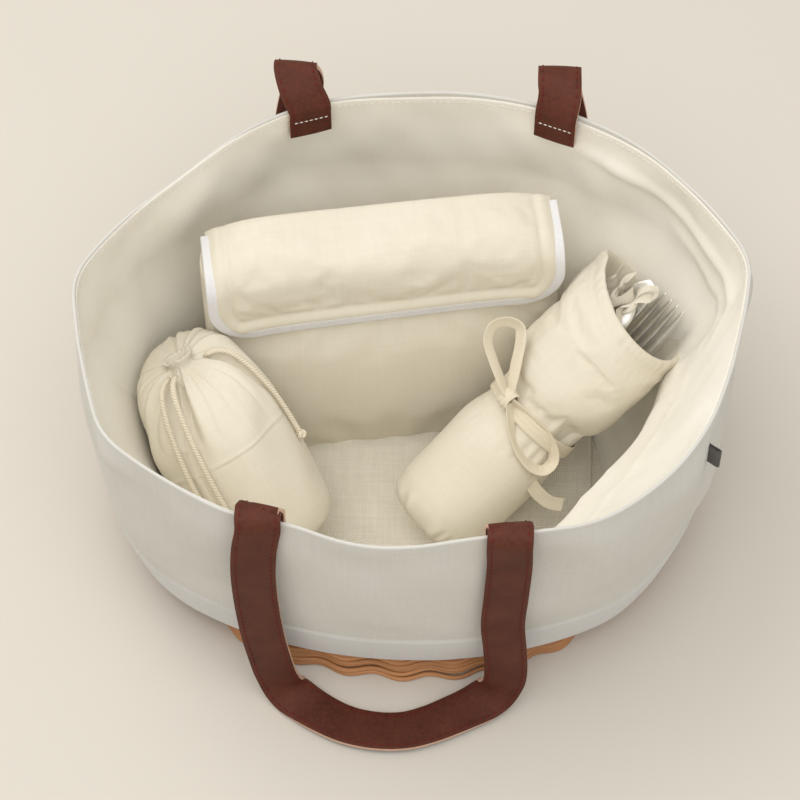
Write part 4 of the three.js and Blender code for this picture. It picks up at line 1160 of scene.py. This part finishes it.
# %% Flap binding and stitches
def flap_edge(out):
    side = np.array([(flap_half(s), s) for s in FLAP_LENGTH * (1 - (1 - np.linspace(0.03, 1, 90)) ** 1.6)])
    lower = np.array([(x, FLAP_LENGTH) for x in np.linspace(FLAP_HALF - FLAP_CORNER - 2, 0, 40)])
    half = np.vstack([side, lower])
    whole = np.vstack([half, (half * (-1, 1))[::-1][1:]])
    run = unit(np.gradient(whole, axis=0))
    return whole + np.stack([run[:, 1], -run[:, 0]], axis=1) * out


def flap_row(out, lift):
    edge = flap_edge(out)
    line = on_flap(edge[:, 0], edge[:, 1], lift)
    above = on_flap(edge[:, 0], edge[:, 1], lift + 1)
    return line, unit(above - line)


tape_line, tape_outs = flap_row(-1.5, 0.6)
binding = band("flap_tape_binding", tape_line, tape_outs, 9.5, 6)
apply(binding, "SOLIDIFY", thickness=0.0062, offset=0.0)
subdivide(binding, 2)
finish_piece(binding, "binding", white_tape, body="pouch_flap", stands_for=["flap_binding"])
flap_seam = sew("flap_stitches", [flap_row(-SEAM_INSET, 2.3)], 3.4, 2.7, 0.6)
tape_seam = sew("binding_stitches", [flap_row(-5.2, 3.75)], 2.8, 2.1, 0.5)
finish_piece(flap_seam, "cotton", cream_thread, body="pouch_flap")
finish_piece(tape_seam, "binding", white_thread, body="pouch_flap")

# %% [markdown]
# ## Drawstring bag
# A round cotton bag is drawn shut. The cloth gathers into pleats that run together at the
# neck and flare into a short frill round a dark mouth. It is one grid lofted round the bag's
# axis. The pleats are uneven waves that grow towards the neck, as gathered cloth's are.

# %% Bag body
bag_profile = through(
    [
        (0.1, 0, 1), (20, 0, 0.8), (34, 0, 1.5), (43.5, 0, 6), (47.5, 0, 15), (48.6, 0, 40), (48.4, 0, 80),
        (47.8, 0, 98), (46.8, 0, 110), (45, 0, 122), (42, 0, 133), (37.5, 0, 141.5), (31, 0, 147),
        (23, 0, 150), (15, 0, 151.6), (9.5, 0, 152), (8.6, 0, 153.5), (9.5, 0, 155), (11, 0, 156.6),
        (11.6, 0, 157.6), (10.6, 0, 158), (8, 0, 156), (5, 0, 151), (3, 0, 145), (2, 0, 140), (0.1, 0, 138),
    ],
    176,
)
bag_run = run_along(bag_profile)
PAD_TOP = 12.6


def settle(points):
    """Flattens what would sink into the floor pad."""
    points[:, 2] = np.maximum(points[:, 2], PAD_TOP + 0.15 * (points[:, 2] - PAD_TOP))
    return points


def bag_pleats(r, h, uneven):
    """How far the gathered cloth stands out; the pleats are deepest halfway up the neck."""
    deep = np.interp(r, [8, 12, 20, 30, 40, 47], [1.6, 3.4, 5.2, 4.8, 3.0, 0.6]) * smooth(70, 112, h)
    ridges = 1.5 * np.abs(np.sin(8 * uneven + 0.3 * np.sin(h / 9))) ** 0.8
    return deep * (ridges - 0.9 + 0.3 * np.cos(25 * uneven + 1))


def bag_seams(angle, h, v):
    """A sewn side seam, and the stitched channel that goes round the bag."""
    across = apart(angle, 35) * 48
    side = 0.8 * hump(across, 1.6) - 0.9 * hump(across - 3, 1.2)
    low = h - 84 - 7 * np.cos(apart(angle, 110))
    channel = 0.5 * hump(low, 2.0) - 0.5 * hump(low + 2.6, 1.1)
    return side * smooth(8, 25, h) * (1 - smooth(125, 148, h)) + channel * (v < 0.8)


def lay_bag(u, v):
    angle = u * 2 * math.pi
    r, _, h = pick_rows(bag_profile, v).T
    uneven = angle + 0.2 * np.sin(3 * angle + 1) + 0.1 * np.sin(5 * angle + 2.2)
    outer = 1 - smooth(0.90, 0.97, v)
    reaching = 0.6 + 0.4 * np.sin(2 * uneven + 0.8)
    drape = 3.0 * hump(h - 104, 20) * np.sin(5 * uneven + 0.5) * reaching * (v < 0.85)
    soft = smooth(12, 40, h) * (1 - smooth(100, 140, h))
    folds = soft * (1.1 * np.sin(4 * angle + h / 30) + 0.7 * np.sin(7 * angle + 1 - h / 20))
    climb = np.clip((h - 105) / 45, 0, 1) * outer
    push = bag_pleats(r, h, uneven) * outer * reaching
    reach = r + push * (1 - 0.7 * climb) + folds + drape + bag_seams(angle, h, v)
    far = np.clip(r / 42, 0, 1) * smooth(80, 140, h) * (1 - smooth(0.86, 0.9, v))
    under_cords = sum(hump(apart(angle, degrees), 0.15) for degrees, _ in drawstrings.values())
    pressed = np.clip(under_cords, 0, 1) * smooth(30, 60, h) * (v < 0.85)
    reach = reach - pressed * np.maximum(0, reach - bag_reach(h))
    lift = push * 0.7 * climb + 21 * far * np.cos(apart(angle, 250))
    return settle(in_bag(xyz(reach * np.cos(angle), reach * np.sin(angle), h + lift)))


bag = lay("drawstring_bag_cloth", 264, len(bag_profile) - 1, lay_bag, (302, bag_run[-1]))
weld(bag)
finish_piece(bag, "cotton", cotton_cloth, body="drawstring_bag", stands_for=["drawstring_bag"])

# %% [markdown]
# ## Cutlery roll
# A padded cotton sleeve is tied in the middle, so it swells on both sides of a waist with
# creases that run into the tie. Its mouth is cut back on the upper side. One grid makes the
# outside, the turned hem and the bore. The waist, the foot and the hem are held, and cloth
# pressure fills the rest.

# %% Roll body
TIE_AT = 110
PADDING = 5


def roll_reach(s):
    open_reach = np.interp(s, [0, 60, 110, 150, 185, 228], [37, 38.5, 40, 44.5, 46.5, 46.5])
    clear = np.maximum(0, np.abs(s - TIE_AT) - 6)
    return open_reach + (35.5 - open_reach) * hump(clear, 17)


outside = [(roll_reach(s), 0, s) for s in np.linspace(24, 222, 72)]
bore = [(roll_reach(s) - PADDING, 0, s) for s in np.linspace(220, 60, 30)]
round_foot = [(0.1, 0, 1.5), (14, 0, 0.2), (24, 0, 1.5), (31.5, 0, 6), (35.4, 0, 13), outside[0]]
turned_hem = [outside[-1], (46, 0, 226), (44, 0, 228), (42, 0, 226), bore[0]]
foot_rows = through(round_foot, 22)[:-1]
roll_profile = np.vstack([foot_rows, outside, through(turned_hem, 9)[1:-1], bore, [(0.1, 0, 58)]])
roll_run = run_along(roll_profile)
hem_row_at = len(foot_rows) + len(outside)
bore_from = hem_row_at + 6


def on_roll(u, v):
    angle = u * 2 * math.pi
    r, _, s = pick_rows(roll_profile, v).T
    row = v * (len(roll_profile) - 1)
    beyond = np.abs(s - TIE_AT)
    uneven = angle + 0.3 * np.sin(2 * angle + 0.7) + 0.15 * np.sin(5 * angle)
    outer = 1 - smooth(hem_row_at, bore_from, row)
    creases = 1.4 * hump(beyond - 13, 8) * np.abs(np.sin(5.5 * uneven)) ** 1.5
    pinch = 8.0 * hump(apart(angle, 165), 0.2) * hump(s - TIE_AT - 9, 12)
    hem = 0.9 * hump(s - 217, 1.6) + 0.5 * np.sin(37 * uneven) * smooth(212, 222, s)
    foot = 1.5 * np.sin(15 * uneven) * hump(s - 6, 7) * smooth(5, 25, r)
    loose = 1.0 * np.sin(3 * angle + s / 26) * smooth(125, 160, s) + 0.7 * np.sin(4 * angle - s / 19)
    reach = r - outer * (creases + pinch + hem - foot - loose * smooth(10, 20, beyond))
    top, side, low = (np.maximum(0, np.cos(apart(angle, degrees))) for degrees in (130, 180, 10))
    cut_back = (18 * top**0.8 + 6 * side - 5 * low) * smooth(150, 222, s)
    return settle(in_roll(xyz(reach * np.cos(angle), reach * np.sin(angle), s - cut_back)))


def roll_held(u, v):
    row = v * (len(roll_profile) - 1)
    s = pick_rows(roll_profile, v)[:, 2]
    return (row > hem_row_at - 6) | (np.abs(s - TIE_AT) < 8) | (row < 4)


roll = lay("cutlery_roll_sleeve", 144, len(roll_profile) - 1, on_roll, (260, roll_run[-1]), sewn=roll_held)
weld(roll)
fill(roll, 4, 2.5)
subdivide(roll)
roll_nodes = ["cutlery_roll_foot", "cutlery_roll_mouth"]
finish_piece(roll, "cotton", cotton_cloth, body="cutlery_roll", stands_for=roll_nodes)

# %% [markdown]
# ## Tape tie
# A flat cotton tape goes once round the waist and ends in a bow. Tape keeps its width, so the
# bow's loops and tail are bands laid along smooth lines. The knot is a short band wrapped
# round the middle.

# %% Tape band, bow and knot
TAPE, BOW_TAPE, KNOT_TAPE = 11.0, 10.2, 12
waist = 36.6
knot_y = waist + 4.4
ring = np.linspace(0, 2 * math.pi, 97)
band_line = in_roll(xyz(waist * np.cos(ring), waist * np.sin(ring), TIE_AT + 0.6 * np.sin(2 * ring)))
band_outs = unit(band_line - in_roll([(0, 0, TIE_AT)]))
tape_band = band(
    "tape_round_waist", band_line, band_outs, TAPE, 8, lambda u, v: 0.6 * np.sin(3 * math.pi * u) ** 2
)
weld(tape_band, 0.0002)
knot_at = in_roll([(6, knot_y, TIE_AT + 3)])[0]
slope = np.array([[1, 0, 0], [0, 0.866, 0.5], [0, -0.5, 0.866]])


def bow_tape(name, places, count, standing):
    """Tape drawn on the slope of the roll: right, up and off the slope, in mm from the knot."""
    flat = through(places, count)
    along = directions(flat)
    away = flat - flat.mean(axis=0)
    away = unit(away - along * np.sum(away * along, axis=1, keepdims=True))
    across = unit(np.array([0, 0, 1.0]) * standing + away * (1 - standing))
    outs = np.cross(across, along)
    return band(
        name, flat @ slope + knot_at, outs @ slope, BOW_TAPE, 6,
        lambda u, v: 0.3 * np.sin(2 * math.pi * u + 9 * v),
    )


rear_loop = [
    (-1, 3, 2), (-6, 14, 5), (-11, 26, 7), (-15.4, 40, 8), (-12.5, 50, 8), (-2.5, 54, 7), (6.5, 50.5, 6),
    (7.6, 42, 5), (5, 26, 4), (2.4, 12, 3), (1, 3, 1),
]
front_loop = [
    (1, -3, 2), (2, -14, 2), (5, -28, 0), (10.5, -40, -3), (18, -48, -7), (27, -50, -11), (33, -44, -12),
    (33, -36, -9), (28, -26, -4), (18, -16, 0), (8, -7, 1), (2, -2, 1),
]
tail_line = [
    (1, -4, 0), (5, -24, -2), (11, -42, -8), (16, -54, -16), (22, -65, -22), (32, -73, -27), (42, -75, -30)
]
bow = {
    "tape_loop_rear": (rear_loop, 0.5, "roll_tie_loop_rear"),
    "tape_loop_front": (front_loop, 0.5, "roll_tie_loop_front"),
    "tape_tail": (tail_line, 0.1, "roll_tie_tail"),
}
tapes = [(tape_band, "roll_tie_band", 2 * math.pi * waist, TAPE)]
for name, (places, standing, node) in bow.items():
    made = bow_tape(name, places, 80, standing)
    tapes.append((made, node, run_along(through(places, 80))[-1], BOW_TAPE))
turn = np.linspace(0, 2 * math.pi, 49)
wrap = xyz(1.0 * np.sin(turn), 4.2 * np.sin(turn), 6.0 * np.cos(turn))
wrap_axes = in_roll([(0, 0, 0), (1, 0, 0), (0, 1, 0), (0, 0, 1)])
knot_line = knot_at + wrap @ (wrap_axes[1:] - wrap_axes[0])
knot_outs = unit(knot_line - knot_at)
knot_band = band(
    "tape_knot", knot_line, knot_outs, KNOT_TAPE, 10,
    lambda u, v: 1.6 * np.sin(math.pi * u) + 0.6 * np.sin(5 * math.pi * u + 4 * np.sin(2 * math.pi * v)),
)
weld(knot_band, 0.0004)
tapes.append((knot_band, "roll_tie_knot", run_along(wrap)[-1], KNOT_TAPE))
for piece, node, length, width in tapes:
    apply(piece, "SOLIDIFY", thickness=0.0009, offset=0.0)
    subdivide(piece)
    finish_piece(piece, "cord", tie_tape, body="cutlery_roll", stands_for=[node])

# %% [markdown]
# ## Cutlery and napkin
# Forks, a knife and a spoon stand in the bore under a crumpled napkin. A flat grid gets each
# outline, Solidify gives the metal its thickness, and Bevel rounds the edges. The napkin is
# one thin sheet in loose folds.

# %% Cutlery
STEEL = 2.0


def blade(name, stations, columns, rows, thick):
    """Stations are height, half width, dip of the middle line and cup of the section."""
    line = through(stations, rows + 1)

    def place(u, v):
        s, half, dip, cup = pick_rows(line, v).T
        x = 2 * u - 1
        return xyz(x * half, dip - cup * (1 - x * x), s)

    piece = lay(name, columns, rows, place, (20, 200))
    apply(piece, "SOLIDIFY", thickness=thick * MM, offset=0.0)
    apply(piece, "BEVEL", width=0.0005, segments=2, limit_method="ANGLE")
    return piece


def handle_stations(length, end, neck):
    return [(0, end * 0.45, 0, 0), (4, end * 0.9, 0, 0), (12, end, 0, 0), (length * 0.35, end * 0.85, 0, 0),
            (length * 0.72, neck, 0, 0), (length, neck, 0, 0)]


def fork(name):
    neck = 138
    root = [(neck + 10, 7, -2.5, 0), (neck + 18, 11, -3.5, 1), (neck + 28, 12, -3, 1)]
    prong = [
        (neck + 26, 2.1, -3.4, 0), (neck + 50, 1.7, -1.6, 0),
        (neck + 66, 1.1, 0.8, 0), (neck + 70, 0.5, 1.4, 0),
    ]
    pieces = [blade(name, handle_stations(neck, 8, 3.2) + root, 8, 60, STEEL)]
    for i in range(4):
        tine = blade("tine", prong, 2, 18, STEEL)
        put(tine, points_of(tine) + np.array(((i - 1.5) * 6.6 * MM, 0, 0)))
        pieces.append(tine)
    return join(name, pieces)


def spoon(name):
    neck = 140
    bowl = [
        (neck + 7, 6.5, -1, 1), (neck + 18, 12.3, -2, 3.5), (neck + 32, 13.5, -2, 5),
        (neck + 43, 10, -1, 3.5), (neck + 48, 5.5, 0.2, 1.6), (neck + 50, 1.5, 0.5, 0.6),
    ]
    return blade(name, handle_stations(neck, 8, 3.2) + bowl, 12, 80, STEEL)


def knife(name):
    neck = 105
    edge = [(neck + 10, 8.5, 0, 0), (neck + 60, 10, 0, 0), (neck + 95, 9, 0, 0), (neck + 106, 2.5, 0, 0)]
    return blade(name, handle_stations(neck, 7.5, 6) + edge, 6, 60, STEEL)


cutlery = []
for i in range(3):
    at = (-12.61, -17.81 + 3.4 * i, 24 + 4 * i)
    cutlery.append((fork(f"table_fork_{i + 1}"), f"dinner_fork_{i + 1}", at, 1))
cutlery.append((knife("round_ended_knife"), "table_knife", (13.52, -15.6, 26), 1))
cutlery.append((spoon("oval_spoon"), "dessert_spoon", (14.4, -12.9, 30), -1))
for piece, node, at, turned in cutlery:
    put(piece, in_roll(points_of(piece) / MM * (turned, turned, 1) + np.array(at)) * MM)
    weld(piece, 0.000001)
    finish_piece(piece, "steel", bright_steel, body="cutlery_roll", stands_for=[node])
    pick(piece)
    bpy.ops.object.shade_smooth_by_angle(angle=math.radians(40))

# %% Napkin
NAPKIN = 66


def lay_napkin(u, v):
    s = 162 + NAPKIN * v
    crush = 2.6 * np.sin(23 * u + 11 * v) + 1.8 * np.sin(41 * u - 17 * v + 1) + 1.5 * np.sin(31 * v + 9 * u)
    x = 13 + (13 + 5 * v) * (2 * u - 1) + crush
    y = 7 + 12 * v + 5 * np.sin(14 * u + 2 * v) + 3.5 * np.sin(29 * u + 5 * v) + crush * np.cos(19 * u)
    top = (7 * np.sin(11 * u + 1) + 5 * np.sin(27 * u) + 3 * np.sin(47 * u)) * v
    return in_roll(xyz(x, np.clip(y, -6, 34), s + top))


napkin = lay("crumpled_napkin", 150, 70, lay_napkin, (110, NAPKIN))
subdivide(napkin)
finish_piece(napkin, "cotton", cotton_cloth, body="cutlery_roll", stands_for=["napkin"])

# %% [markdown]
# ## Stage
# A plain pale floor keeps the shadow. A large soft lamp stands above and behind on the left,
# and a cooler one fills from the front. The world adds a little light from everywhere, and
# shows pale to the camera and in the steel.


# %% Floor, lamps and world
bpy.ops.object.select_all(action="DESELECT")
bpy.ops.mesh.primitive_plane_add(size=12)
floor = bpy.context.object
floor.name = "studio_floor"
pale, tree, shader = new_material("pale_floor", 0.75)
mottle = add_node(tree, "ShaderNodeGroup", node_tree=mottled)
mottle.inputs["Scale"].default_value = 3.0
paint(tree, shader, mottle.outputs["Mottle"], (0.635, 0.595, 0.525), (0.67, 0.63, 0.56))
floor.data.materials.append(pale)
lamps = {
    "key_lamp": ((-1.0, 0.45, 2.2), 1.6, 20, (1.0, 0.975, 0.93)),
    "front_lamp": ((0.1, -1.0, 2.5), 1.8, 21, (0.97, 0.98, 1.0)),
}
for name, (at, size, watts, colour) in lamps.items():
    bpy.ops.object.light_add(type="AREA", location=at)
    lamp = bpy.context.object
    lamp.name = name
    lamp.data.size = size
    lamp.data.energy = watts
    lamp.data.color = colour
    lamp.rotation_euler = (Vector((0, 0, 0.12)) - Vector(at)).to_track_quat("-Z", "Y").to_euler()
world = bpy.data.worlds.new("soft_room")
scene.world = world
world.use_nodes = True
tree = world.node_tree
glow = tree.nodes["Background"]
glow.inputs["Color"].default_value = (1.0, 0.98, 0.95, 1)
glow.inputs["Strength"].default_value = 0.76
seen = add_node(tree, "ShaderNodeBackground", {"Color": (0.80, 0.76, 0.68, 1), "Strength": 1.0})
path = add_node(tree, "ShaderNodeLightPath").outputs
mirrored = number(tree, "MAXIMUM", path["Is Glossy Ray"], path["Is Transmission Ray"])
direct = number(tree, "MAXIMUM", path["Is Camera Ray"], mirrored)
blend = add_node(tree, "ShaderNodeMixShader", {0: direct, 1: glow.outputs[0], 2: seen.outputs[0]})
tree.links.new(blend.outputs[0], tree.nodes["World Output"].inputs["Surface"])
